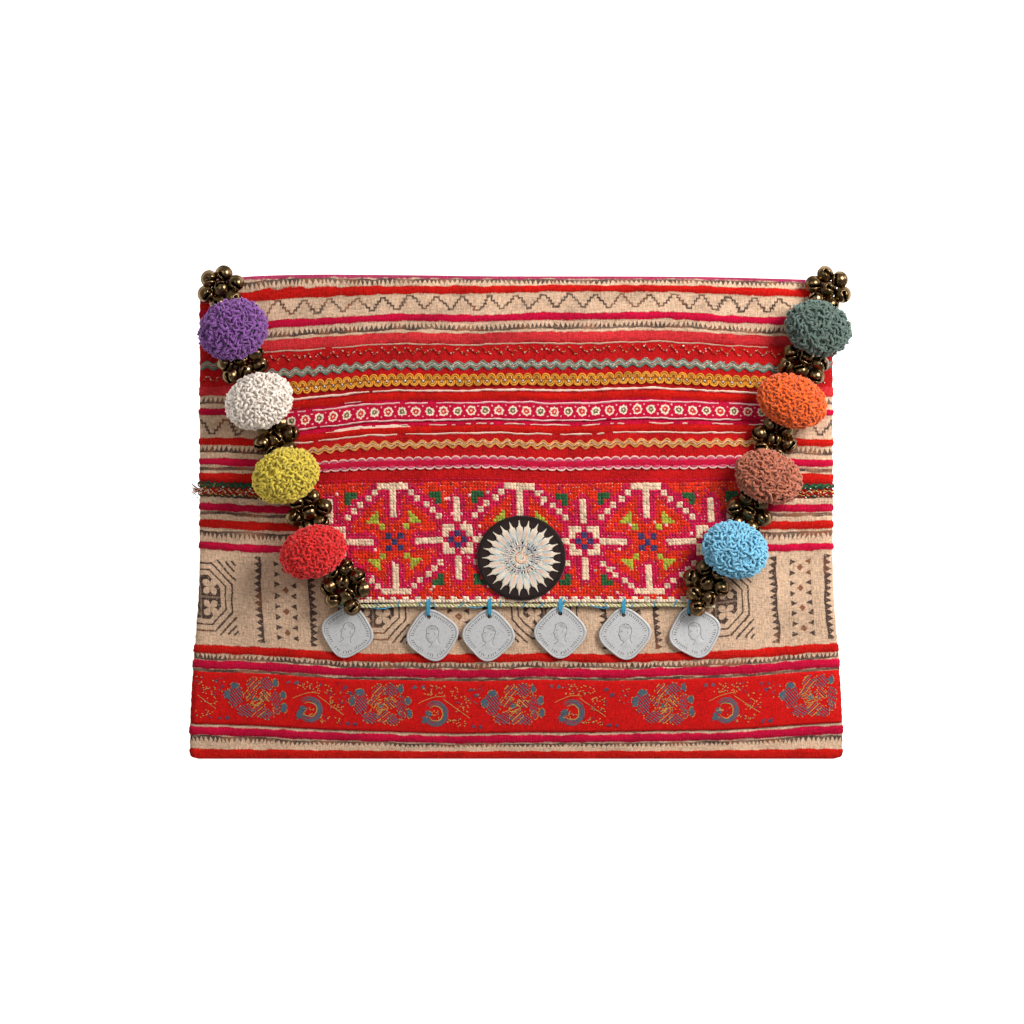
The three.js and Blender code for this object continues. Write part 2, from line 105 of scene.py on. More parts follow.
def flapTop(x, y):
    return frontTop(x, y) + bag["ribRaise"] + bag["flapGap"] + bag["wall"]


# Soft unevenness of hand-sewn cloth: low ripples, and rows that wander
def ripple(x, y):
    return (0.2 * np.sin(x / 7.3 + 1.3 * np.sin(y / 19)) * np.sin(y / 23 + x / 61)
            + 0.1 * np.sin(y / 5.1 + 1.1 * np.sin(x / 26))
            + 0.09 * np.sin(x / 1.5 + 2.2 * np.sin(x / 9 + y / 31) + 1.3 * np.sin(y / 14))
            + 0.07 * np.sin(x / 3.7 + y / 11))


def sway(x, row):
    return (0.5 * np.sin(x / 21 + row / 37)
            + 0.28 * np.sin(x / 9.7 - row / 29 + 1.7)
            + 0.1 * np.sin(x / 3.1 + row * 2.3))


def frontAt(row, s, above=0.0):
    row, s = np.broadcast_arrays(np.asarray(row, float), np.asarray(s, float))
    sag = bag["rowSag"] * ease(row, 0, 14) * (1 - ease(row, 55, 150))
    y = row - sag * (1 - s ** 2) + sway(146 * s, row) * 0.8 * ease(row, 0, 25)
    x = s * bagHalf(y)
    z = frontTop(x, y) + ripple(x, y) * (1 - ease(np.abs(s), 0.95, 1)) + above
    bulge = 0.6 * np.clip(above, 0, 1) + 0.15 * np.sin(y * 1.7) + 0.1 * np.sin(y * 0.9 + 1)
    return np.stack([x + s * ease(np.abs(s), 0.985, 1) * bulge, y, z], -1)


def flapHalf(row):
    down = np.clip((bag["foldHeight"] - row) / (bag["foldHeight"] - bag["hemRow"]), 0, 1)
    return bag["flapTopHalf"] + (bag["flapHemHalf"] - bag["flapTopHalf"]) * down


# The folded edge drops at both ends and stands a little higher on the left
def foldDrop(s):
    left = bag["foldLeft"] * s ** 8 - bag["foldRise"] * np.clip(-s / 0.64, 0, 1)
    return np.where(s < 0, left, bag["foldRight"] * s ** 4)


def foldAt(s):
    edge = bag["foldHeight"] - foldDrop(s)
    radius = flapTop(bag["flapShift"] + s * bag["flapTopHalf"], edge - 6) / 2
    return radius, edge - radius


# The bands below the fold hang lower at both ends, more so on the left
def bandBow(row, s):
    left = 0.4 + 5.0 * ease(row, 120, 158)
    right = 0.2 + 2.6 * ease(row, 145, 172)
    bow = np.where(s < 0, left * s ** 2, right * s ** 4)
    return bow + (foldDrop(s) - bow) * ease(row, 214, 222)


def flapAt(row, s, above=0.0):
    row, s = np.broadcast_arrays(np.asarray(row, float), np.asarray(s, float))
    wander = sway(s * flapHalf(row), row) * ease(row, 72, 95) * (1 - 0.8 * ease(row, 212, 221))
    y = row - bandBow(row, s) + wander
    x = bag["flapShift"] + s * flapHalf(y + 2 * s ** 2)
    radius, start = foldAt(s)
    turn = np.where(row <= bag["foldHeight"], np.arcsin(np.clip((y - start) / radius, 0, 1)),
                    math.pi / 2 * (1 + (row - bag["foldHeight"]) / bag["backSpan"]))
    over = (row > bag["foldHeight"]) | (y > start)
    reach = radius + above
    top = flapTop(x, np.minimum(y, start)) + ripple(x, y) * (1 - ease(y, start - 12, start)) + above
    return np.stack([x, np.where(over, start + reach * np.sin(turn), y),
                     np.where(over, radius + reach * np.cos(turn), top)], -1)


def onFront(x, row, above=0.0):
    return frontAt(row, np.asarray(x) / bagHalf(np.asarray(row, float)), above)


def onFlap(x, row, above=0.0):
    return flapAt(row, (np.asarray(x) - bag["flapShift"]) / flapHalf(np.asarray(row, float)), above)


def seat(surface, x, y, above, up):
    slopeX = (surface(x + 1, y) - surface(x - 1, y)) / 2
    slopeY = (surface(x, y + 1) - surface(x, y - 1)) / 2
    normal = Vector((-slopeX, -slopeY, 1)).normalized()
    along = Vector((up[0], up[1], 0))
    along = (along - normal * along.dot(normal)).normalized()
    across = along.cross(normal)
    place = Vector((x, y, float(surface(x, y)))) + normal * above
    turn = np.array([across, along, normal]).T
    return turn, np.array(place)


# Colours
def tint(code):
    parts = [int(code[i:i + 2], 16) / 255 for i in (1, 3, 5)]
    return tuple(p / 12.92 if p <= 0.04045 else ((p + 0.055) / 1.055) ** 2.4 for p in parts) + (1.0,)


dyes = {name: tint(code) for name, code in {
    "red": "#ba150d", "magenta": "#b60b33", "coral": "#c02c30", "ground": "#b01315", "deep": "#981113",
    "hemp": "#ccaa8d", "cream": "#efd6bb", "pinkWhite": "#efc0bd", "purple": "#8a2a63", "plum": "#5b4562",
    "teal": "#4f6e60", "sage": "#8d9a7c", "greyGreen": "#6a8576", "tan": "#d99a55", "gold": "#e0952c",
    "lightGold": "#f0b050", "silver": "#dcdee0", "brown": "#5a4338", "darkGreen": "#2c5a34",
    "lime": "#a9ac3c", "indigo": "#3f3962", "orange": "#da2e11", "rose": "#c61446", "blueGrey": "#4f6672",
    "oldGold": "#c29b55", "blue": "#4398bb", "paleGreen": "#cdd08c", "ink": "#3d2d2a", "rust": "#7d4a33",
    "black": "#2c211f", "peach": "#e3b69a", "forest": "#1f3a2c", "brocadeRed": "#c3110e", "amber": "#8f5018",
    "piping": "#a02c50", "beige": "#b9a786", "copper": "#a84c28", "mint": "#c4cecb", "petal": "#edbfb4",
    "sun": "#e0d0ba", "lilac": "#b195a6", "paleGrey": "#b9bcb8", "pink": "#bf4a64", "engraved": "#57514b",
    "flax": "#e6c6a6", "flaxDot": "#e6c6a6", "frayed": "#ebcab4",
}.items()}


# Numbers in a material's node tree, so that a printed figure can be written as sums
class Reading:
    def __init__(self, tree, socket):
        self.tree = tree
        self.socket = socket

    def put(self, kind, *others, held=False):
        node = self.tree.nodes.new("ShaderNodeMath")
        node.operation = kind
        node.use_clamp = held
        for slot, item in zip(node.inputs, (self,) + others):
            if isinstance(item, Reading):
                self.tree.links.new(item.socket, slot)
            else:
                slot.default_value = float(item)
        return Reading(self.tree, node.outputs[0])

    def __add__(self, other):
        return self.put("ADD", other)

    def __sub__(self, other):
        return self.put("SUBTRACT", other)

    def __rsub__(self, other):
        return self.put("MULTIPLY_ADD", -1, other)

    def __mul__(self, other):
        return self.put("MULTIPLY", other)

    def __truediv__(self, other):
        return self.put("DIVIDE", other)

    def __abs__(self):
        return self.put("ABSOLUTE")

    def least(self, other):
        return self.put("MINIMUM", other)

    def most(self, other):
        return self.put("MAXIMUM", other)

    def part(self):
        return self.put("FRACT")

    def same(self, value):
        return self.put("COMPARE", value, 0.1)

    def below(self, limit, soft):
        return ((self - limit) / -soft).put("ADD", 0.5, held=True)

    def above(self, limit, soft):
        return ((self - limit) / soft).put("ADD", 0.5, held=True)


def parts(tree, socket):
    node = tree.nodes.new("ShaderNodeSeparateXYZ")
    tree.links.new(socket, node.inputs[0])
    return [Reading(tree, out) for out in node.outputs]


def attribute(tree, name, output):
    node = tree.nodes.new("ShaderNodeAttribute")
    node.attribute_name = name
    return node.outputs[output]


def objectPlace(tree):
    return tree.nodes.new("ShaderNodeTexCoord").outputs["Object"]


def grain(tree, place, scale, detail=2.0, output="Fac"):
    spread = tree.nodes.new("ShaderNodeVectorMath")
    spread.operation = "MULTIPLY"
    tree.links.new(place, spread.inputs[0])
    spread.inputs[1].default_value = scale
    noise = tree.nodes.new("ShaderNodeTexNoise")
    noise.inputs["Scale"].default_value = 1.0
    noise.inputs["Detail"].default_value = detail
    tree.links.new(spread.outputs[0], noise.inputs["Vector"])
    return Reading(tree, noise.outputs["Fac"]) if output == "Fac" else noise.outputs["Color"]


def mixColour(tree, share, first, second):
    node = tree.nodes.new("ShaderNodeMix")
    node.data_type = "RGBA"
    for slot, item in ((node.inputs[0], share.socket), (node.inputs[6], first), (node.inputs[7], second)):
        if isinstance(item, bpy.types.NodeSocket):
            tree.links.new(item, slot)
        else:
            slot.default_value = item
    return node.outputs[2]


def shade(tree, colour, value):
    node = tree.nodes.new("ShaderNodeHueSaturation")
    if isinstance(colour, bpy.types.NodeSocket):
        tree.links.new(colour, node.inputs["Color"])
    else:
        node.inputs["Color"].default_value = colour
    tree.links.new(value.socket, node.inputs["Value"])
    return node.outputs[0]


def newMaterial(name, roughness, metal=0.0, sheen=0.0):
    material = bpy.data.materials.new(name)
    material.use_nodes = True
    tree = material.node_tree
    shader = tree.nodes["Principled BSDF"]
    shader.inputs["Roughness"].default_value = roughness
    shader.inputs["Metallic"].default_value = metal
    shader.inputs["Sheen Weight"].default_value = sheen
    shader.inputs["Sheen Roughness"].default_value = 0.5
    shader.inputs["Specular IOR Level"].default_value = 0.5 if metal else 0.1
    return material, tree, shader


def finishMaterial(tree, shader, colour, height=None, depth=0.0003, strength=0.5):
    tree.links.new(colour, shader.inputs["Base Color"])
    if height is None:
        return
    bump = tree.nodes.new("ShaderNodeBump")
    bump.inputs["Distance"].default_value = depth
    bump.inputs["Strength"].default_value = strength
    tree.links.new(height.socket, bump.inputs["Height"])
    tree.links.new(bump.outputs[0], shader.inputs["Normal"])


def weave(tree, place):
    warp = grain(tree, place, (1.7, 0.3, 1), 2)
    weft = grain(tree, place, (0.3, 1.7, 1), 2)
    slub = grain(tree, place, (1.0, 1.0, 1), 3)
    return warp * 0.8 + weft * 0.7 + slub * 0.8 - 0.65


# Printed and dyed rows: teeth, stairs and worn lines on hemp, or a plain dye with soft, uneven edges
printed = {
    "toothPitch": 2.1, "stairPeriod": 12.17, "stairSteps": 5,
    "wear": 0.95, "wander": 1.9, "fuzz": 0.9, "soft": 0.42,
}
upTeeth, hangingTeeth, stairRow, inkLine = range(1, 5)  # kinds of printed figure


def stairAt(x):
    rise = abs((x / printed["stairPeriod"]).part() * 2 - 1)
    return (rise * printed["stairSteps"]).put("FLOOR") / (printed["stairSteps"] - 1)


# The dye of a row, running into its neighbours, and painted shade that darkens it beside its seams
def dyedRows(tree, place, row):
    low, high, _ = parts(tree, attribute(tree, "span", "Vector"))
    wander = (grain(tree, place, (0.16, 0.3, 1), 2) - 0.5) * printed["wander"]
    edge = row + wander + (grain(tree, place, (1.2, 1.2, 1), 2) - 0.5) * printed["fuzz"]
    dye = mixColour(tree, edge.below(low, printed["soft"]), attribute(tree, "dye", "Color"),
                    attribute(tree, "dyeBelow", "Color"))
    dye = mixColour(tree, edge.above(high, printed["soft"]), dye, attribute(tree, "dyeAbove", "Color"))
    # Painted shade: each row is darkened towards its seams with the rows beside it
    seam = abs((edge - low).least(high - edge) / 0.5).least(1.0)
    return dye, seam * 0.18 + 0.82


def rowCloth():
    material, tree, shader = newMaterial("rowCloth", 0.92, sheen=0.04)
    place = attribute(tree, "cloth", "Vector")
    x, row, _ = parts(tree, place)
    figureFrom, figureHigh, kind = parts(tree, attribute(tree, "figure", "Vector"))
    dye, paintedSeamShade = dyedRows(tree, place, row)
    driftX, driftY, _ = parts(tree, grain(tree, place, (0.11, 0.14, 1), 2, "Color"))
    fuzzX, fuzzY, _ = parts(tree, grain(tree, place, (0.9, 0.9, 1), 2, "Color"))
    x = x + (driftX - 0.5) * 4.6 + (fuzzX - 0.5) * 0.7
    row = row + (driftY - 0.5) * 2.6 + (fuzzY - 0.5) * 0.7
    v = (row - figureFrom) / figureHigh
    v = v + kind.same(hangingTeeth) * (1 - v * 2)
    tooth = abs((x / printed["toothPitch"]).part() - 0.5) * 2
    teeth = v.below(1.05 - tooth * 0.9, 0.16).most(v.below(0.3, 0.12)) * v.above(0, 0.1)
    teeth = teeth * kind.same(upTeeth).most(kind.same(hangingTeeth))
    first = stairAt(x - 0.36)
    second = stairAt(x + 0.36)
    stairs = v.above(first.least(second) - 0.075, 0.07) * v.below(first.most(second) + 0.075, 0.07)
    stairs = stairs * kind.same(stairRow)
    line = abs(v - 0.5).below(0.4, 0.2) * kind.same(inkLine)
    worn = grain(tree, place, (1.0, 1.0, 1), 3).above(0.33, 0.2)
    thin = grain(tree, place, (0.09, 0.3, 1), 2).above(0.4, 0.3) * 0.3 + 0.7
    ink = (teeth + stairs + line).put("MULTIPLY", worn * thin * printed["wear"], held=True)
    warm = grain(tree, place, (0.07, 0.05, 1), 1).above(0.56, 0.14)
    inkColour = mixColour(tree, warm, dyes["ink"], dyes["rust"])
    threads = weave(tree, place)
    fade = grain(tree, place, (0.05, 0.1, 1), 3)
    # The ground is darkened by the painted seam shade
    ground = shade(tree, dye, (threads * 1.25 + fade * 0.9 - 0.08) * paintedSeamShade)
    finishMaterial(tree, shader, mixColour(tree, ink, ground, inkColour), threads, 0.0005, 0.7)
    return material


# The wide batik band: octagons between toothed lines and ladders of small figures
batik = {
    "repeat": 79.0, "from": -145.4, "middleRow": 74.4, "lean": 0.05,
    "outer": 15.2, "inner": 12.2, "core": 9.8,
}


def batikCloth():
    material, tree, shader = newMaterial("batikCloth", 0.92, sheen=0.04)
    place = attribute(tree, "cloth", "Vector")
    x, row, _ = parts(tree, place)
    dye, paintedSeamShade = dyedRows(tree, place, row)
    driftX, driftY, _ = parts(tree, grain(tree, place, (0.05, 0.06, 1), 2, "Color"))
    fuzzX, fuzzY, _ = parts(tree, grain(tree, place, (0.8, 0.8, 1), 2, "Color"))
    x = x + (row - batik["middleRow"]) * batik["lean"] + (driftX - 0.5) * 3.5 + (fuzzX - 0.5) * 0.9
    row = row + (driftY - 0.5) * 2.5 + (fuzzY - 0.5) * 0.9
    across = abs((((x - batik["from"]) / batik["repeat"] + 0.5).part() - 0.5) * batik["repeat"])
    up = row - batik["middleRow"]
    high = abs(up)
    slant = (across + high) * 0.7071
    ring = across.most(high).most(slant)
    ink = abs(ring - batik["outer"]).below(0.42, 0.25).most(abs(ring - batik["inner"]).below(0.38, 0.25))
    petalX = across - 4.7
    petalY = high - 4.7
    square = petalX * petalX + petalY * petalY
    blossom = (square * square).below(abs(petalX * petalY) * 36, 6)
    gap = across.least(high).below(0.4, 0.3)
    core = ring.below(batik["core"], 0.3) * (1 - blossom.most(gap * 0.3))
    ink = ink.most(core)
    aside = abs(across - high)
    for reach, length in ((17.9, 8.8), (20.3, 4.4), (22.4, 2.1)):
        ink = ink.most(abs(slant - reach).below(0.42, 0.25) * aside.below(length, 0.4))
    inward = batik["repeat"] / 2 - across
    tooth = abs((up / 2.9).part() - 0.5) * 2
    inside = high.below(19.6, 0.4)
    comb = inward.below(14.3 - tooth * 2.6, 0.3) * inward.above(10.8, 0.2)
    rung = ((up / 4.75).part() - 0.5) * 4.75
    heart = abs(rung).below((inward - 2.2) * 0.5, 0.3) * inward.below(5.0, 0.3)
    pip = ((up / 9.5).part() - 0.5) * 9.5
    diamond = (inward + abs(pip)).below(1.6, 0.3)
    ink = ink.most(comb.most(heart).most(diamond) * inside)
    worn = grain(tree, place, (1.0, 1.0, 1), 3).above(0.35, 0.2)
    ink = ink * worn * 0.96
    warm = grain(tree, place, (0.035, 0.03, 1), 1).above(0.64, 0.1).most(inward.below(1.9, 0.3))
    inkColour = mixColour(tree, warm, dyes["ink"], dyes["rust"])
    threads = weave(tree, place)
    fade = grain(tree, place, (0.03, 0.04, 1), 3)
    # The ground is darkened by the painted seam shade
    ground = shade(tree, dye, (threads * 1.15 + fade * 0.8) * paintedSeamShade)
    finishMaterial(tree, shader, mixColour(tree, ink, ground, inkColour), threads, 0.0005, 0.7)
    return material


# The woven ribbon of small flowers
blooms = {"pitch": 6.35, "from": 1.6, "row": 160.3, "big": 1.95, "small": 1.8}


def flowerCloth():
    material, tree, shader = newMaterial("flowerCloth", 0.85, sheen=0.04)
    place = attribute(tree, "cloth", "Vector")
    x, row, _ = parts(tree, place)
    driftX, driftY, _ = parts(tree, grain(tree, place, (0.5, 0.5, 1), 3, "Color"))
    turn = (x - blooms["from"] + (driftX - 0.5) * 1.6) / blooms["pitch"]
    odd = (turn.put("FLOOR") * 0.5).part() * 2
    flowerX = (turn.part() - 0.5) * blooms["pitch"]
    flowerY = row - blooms["row"] + (driftY - 0.5) * 1.6
    reach = (flowerX * flowerX + flowerY * flowerY).put("SQRT")
    lobe = (flowerY.put("ARCTAN2", flowerX) * 8).put("COSINE") * 0.16
    size = odd * (blooms["small"] - blooms["big"]) + blooms["big"] + lobe
    flowerColour = mixColour(tree, odd, dyes["coral"], dyes["darkGreen"])
    dotX = blooms["pitch"] / 2 - abs(flowerX)
    dotY = abs(flowerY) - 2.2
    dots = (dotX * dotX + dotY * dotY).below(0.14, 0.12)
    threads = weave(tree, place)
    colour = mixColour(tree, dots * 0.7, dyes["magenta"], dyes["pinkWhite"])
    colour = mixColour(tree, reach.below(size + 0.2, 0.35), colour, dyes["cream"])
    colour = mixColour(tree, reach.below(size - 0.55, 0.35), colour, flowerColour)
    petal = abs(flowerX * flowerY).below(0.12, 0.2) * reach.above(0.4, 0.3) * reach.below(size - 0.7, 0.2)
    colour = mixColour(tree, petal * 0.6, colour, dyes["orange"])
    colour = mixColour(tree, reach.below(0.4, 0.3) * 0.8, colour, dyes["cream"])
    colour = shade(tree, colour, threads * 1.2 + 0.4)
    finishMaterial(tree, shader, colour, threads, 0.0004, 0.6)
    return material


# Plain ribbon cloth: one dye with flecks of another
def ribbonCloth(name, dye, speck, share):
    material, tree, shader = newMaterial(name, 0.8, sheen=0.04)
    place = attribute(tree, "cloth", "Vector")
    threads = weave(tree, place)
    colour = shade(tree, dyes[dye], threads * 1.1 + 0.45)
    flecks = grain(tree, place, (1.9, 2.3, 1), 1).above(0.64, 0.06)
    colour = mixColour(tree, flecks * share, colour, dyes[speck])
    finishMaterial(tree, shader, colour, threads, 0.0003, 0.5)
    return material


# Sewing and embroidery thread, dull or metallic
def threadCloth(name, roughness, metal):
    material, tree, shader = newMaterial(name, roughness, metal, 0.0 if metal else 0.08)
    place = objectPlace(tree)
    fibre = grain(tree, place, (1500, 1500, 1500), 3)
    colour = shade(tree, attribute(tree, "dye", "Color"), fibre * 0.7 + 0.65)
    finishMaterial(tree, shader, colour, fibre, 0.0002, 0.5)
    return material


def yarnCloth(name, code):
    material, tree, shader = newMaterial(name, 1.0, sheen=0.3)
    place = objectPlace(tree)
    fibre = grain(tree, place, (1900, 1900, 1900), 3)
    lock = grain(tree, place, (260, 260, 260), 2)
    # Painted shade: the yarn is darker towards the foot of each loop, lighter at its tip
    tip = Reading(tree, attribute(tree, "tip", "Fac"))
    colour = shade(tree, tint(code), fibre * 0.6 + lock * 0.5 + tip * 0.34 + 0.34)
    finishMaterial(tree, shader, colour, fibre, 0.0003, 0.7)
    return material


def bellBrass():
    material, tree, shader = newMaterial("bellBrass", 0.34, 1.0)
    place = objectPlace(tree)
    tarnish = grain(tree, place, (260, 260, 260), 4)
    rub = grain(tree, place, (900, 900, 900), 3)
    bright = (tarnish * 1.6).put("SUBTRACT", 0.35, held=True)
    colour = mixColour(tree, bright, tint("#443520"), tint("#937753"))
    colour = shade(tree, colour, rub * 0.5 + 0.75)
    finishMaterial(tree, shader, colour, rub, 0.0001, 0.25)
    rough = rub * 0.26 + 0.1
    tree.links.new(rough.socket, shader.inputs["Roughness"])
    return material


def coinMetal():
    material, tree, shader = newMaterial("coinMetal", 0.55, 0.4)
    place = objectPlace(tree)
    grime = grain(tree, place, (1300, 1300, 1300), 4)
    patch = grain(tree, place, (160, 160, 160), 3)
    dark = parts(tree, attribute(tree, "worn", "Vector"))[0]
    share = (grime.above(0.6, 0.2) * 0.3 + dark * 0.9).put("MULTIPLY", patch + 0.5, held=True)
    colour = mixColour(tree, share, tint("#cbcac9"), tint("#6b625a"))
    finishMaterial(tree, shader, colour, grime, 0.0001, 0.3)
    return material


def feltCloth():
    material, tree, shader = newMaterial("feltCloth", 0.95, sheen=0.2)
    fuzz = grain(tree, objectPlace(tree), (1700, 1700, 1700), 3)
    finishMaterial(tree, shader, shade(tree, dyes["black"], fuzz + 0.5), fuzz, 0.0003, 0.6)
    return material


look = {
    "row": rowCloth(), "batik": batikCloth(), "flower": flowerCloth(),
    "brocade": ribbonCloth("brocadeCloth", "brocadeRed", "deep", 0.5),
    "canvas": ribbonCloth("canvasCloth", "rose", "orange", 0.8),
    "picot": ribbonCloth("picotCloth", "magenta", "coral", 0.6),
    "gimp": ribbonCloth("gimpCloth", "amber", "rust", 0.7),
    "thread": threadCloth("dullThread", 0.85, 0.0), "tinsel": threadCloth("tinselThread", 0.35, 0.65),
    "brass": bellBrass(), "coin": coinMetal(), "felt": feltCloth(),
}
print("materials made")


# Meshes
def addObject(name, mesh):
    piece = bpy.data.objects.new(name, mesh)
    scene.collection.objects.link(piece)
    return piece


def setAttribute(mesh, name, kind, domain, values):
    field = {"FLOAT_COLOR": "color", "FLOAT_VECTOR": "vector", "FLOAT": "value"}[kind]
    layer = mesh.attributes.new(name, kind, domain)
    layer.data.foreach_set(field, np.asarray(values, np.float32).ravel())


def outward(mesh):
    shell = bmesh.new()
    shell.from_mesh(mesh)
    bmesh.ops.recalc_face_normals(shell, faces=shell.faces)
    shell.to_mesh(mesh)
    shell.free()


def smoothed(mesh):
    mesh.polygons.foreach_set("use_smooth", np.ones(len(mesh.polygons), bool))


def settled(piece):
    graph = bpy.context.evaluated_depsgraph_get()
    return bpy.data.meshes.new_from_object(piece.evaluated_get(graph), preserve_all_data_layers=True,
                                           depsgraph=graph)


# A closed sheet: a fine outer grid, a coarse inner one and the rim between them, with its place on flat cloth
def sheetMesh(name, outer, inner, grid, coarse=6):
    rows, columns = outer.shape[:2]
    rowPicks = sorted(set(range(0, rows, coarse)) | {rows - 1})
    columnPicks = sorted(set(range(0, columns, coarse)) | {columns - 1})
    coarsePoints = inner[np.ix_(rowPicks, columnPicks)]
    points = np.concatenate([outer.reshape(-1, 3), coarsePoints.reshape(-1, 3)])
    at = np.arange(rows * columns).reshape(rows, columns)
    under = rows * columns + np.arange(len(rowPicks) * len(columnPicks)).reshape(len(rowPicks), -1)
    upper = np.stack([at[:-1, :-1], at[:-1, 1:], at[1:, 1:], at[1:, :-1]], -1)
    lower = np.stack([under[:-1, :-1], under[1:, :-1], under[1:, 1:], under[:-1, 1:]], -1)
    faces = upper.reshape(-1, 4).tolist() + lower.reshape(-1, 4).tolist()
    for line, low in ((at[0], under[0]), (at[-1][::-1], under[-1][::-1])):
        picks = columnPicks if line[0] == at[0, 0] else [columns - 1 - c for c in reversed(columnPicks)]
        for k in range(len(picks) - 1):
            faces.append([low[k], low[k + 1]] + line[picks[k]:picks[k + 1] + 1][::-1].tolist())
    for line, low in ((at[::-1, 0], under[::-1, 0]), (at[:, -1], under[:, -1])):
        picks = rowPicks if line[0] == at[0, -1] else [rows - 1 - r for r in reversed(rowPicks)]
        for k in range(len(picks) - 1):
            faces.append([low[k], low[k + 1]] + line[picks[k]:picks[k + 1] + 1][::-1].tolist())
    mesh = bpy.data.meshes.new(name)
    mesh.from_pydata(metres(points).tolist(), [], faces)
    outward(mesh)
    smoothed(mesh)
    flat = np.stack([outer[..., 0], grid, 0 * grid], -1)
    picked = flat[np.ix_(rowPicks, columnPicks)]
    flat = np.concatenate([flat.reshape(-1, 3), picked.reshape(-1, 3)])
    setAttribute(mesh, "cloth", "FLOAT_VECTOR", "POINT", flat)
    return mesh


# Geometry Nodes trees for threads along paths, shapes set out on points, and yarn on a head
def newTree(name, inputs):
    tree = bpy.data.node_groups.new(name, "GeometryNodeTree")
    tree.interface.new_socket("Geometry", in_out="INPUT", socket_type="NodeSocketGeometry")
    for label, kind in inputs:
        tree.interface.new_socket(label, in_out="INPUT", socket_type="NodeSocket" + kind)
    tree.interface.new_socket("Geometry", in_out="OUTPUT", socket_type="NodeSocketGeometry")
    return tree, tree.nodes.new("NodeGroupInput"), tree.nodes.new("NodeGroupOutput")


def addNode(tree, kind, links=(), **settings):
    node = tree.nodes.new(kind)
    for key, value in settings.items():
        setattr(node, key, value)
    for slot, source in links:
        if isinstance(source, bpy.types.NodeSocket):
            tree.links.new(source, node.inputs[slot])
        else:
            node.inputs[slot].default_value = source
    return node


def namedField(tree, name, kind):
    node = addNode(tree, "GeometryNodeInputNamedAttribute", [("Name", name)], data_type=kind)
    return node.outputs["Attribute"]


def threadTree():
    tree, start, end = newTree("threads along paths", [
        ("Width", "Float"), ("Thickness", "Float"), ("Sides", "Int"), ("Material", "Material")])
    line = addNode(tree, "GeometryNodeMeshToCurve", [("Mesh", start.outputs["Geometry"])])
    flat = addNode(tree, "GeometryNodeSetCurveNormal", [("Curve", line.outputs[0])], mode="Z_UP")
    ring = addNode(tree, "GeometryNodeCurvePrimitiveCircle", [
        ("Resolution", start.outputs["Sides"]), ("Radius", 0.5)])
    scale = addNode(tree, "ShaderNodeCombineXYZ", [
        (0, start.outputs["Width"]), (1, start.outputs["Thickness"]), (2, 1.0)])
    oval = addNode(tree, "GeometryNodeTransform", [
        ("Geometry", ring.outputs[0]), ("Scale", scale.outputs[0])])
    body = addNode(tree, "GeometryNodeCurveToMesh", [
        ("Curve", flat.outputs[0]), ("Profile Curve", oval.outputs[0]),
        ("Scale", namedField(tree, "girth", "FLOAT")), ("Fill Caps", True)])
    smooth = addNode(tree, "GeometryNodeSetShadeSmooth", [("Geometry", body.outputs[0])])
    whole = addNode(tree, "GeometryNodeRealizeInstances", [("Geometry", smooth.outputs[0])])
    dressed = addNode(tree, "GeometryNodeSetMaterial", [
        ("Geometry", whole.outputs[0]), ("Material", start.outputs["Material"])])
    tree.links.new(dressed.outputs[0], end.inputs[0])
    return tree


def setOutTree():
    tree, start, end = newTree("shapes set out on points", [("Shape", "Object"), ("Material", "Material")])
    shape = addNode(tree, "GeometryNodeObjectInfo", [("Object", start.outputs["Shape"])])
    turn = addNode(tree, "FunctionNodeEulerToRotation", [("Euler", namedField(tree, "turn", "FLOAT_VECTOR"))])
    spread = addNode(tree, "GeometryNodeInstanceOnPoints", [
        ("Points", start.outputs["Geometry"]), ("Instance", shape.outputs["Geometry"]),
        ("Rotation", turn.outputs[0]), ("Scale", namedField(tree, "size", "FLOAT_VECTOR"))])
    whole = addNode(tree, "GeometryNodeRealizeInstances", [("Geometry", spread.outputs[0])])
    dressed = addNode(tree, "GeometryNodeSetMaterial", [
        ("Geometry", whole.outputs[0]), ("Material", start.outputs["Material"])])
    tree.links.new(dressed.outputs[0], end.inputs[0])
    return tree


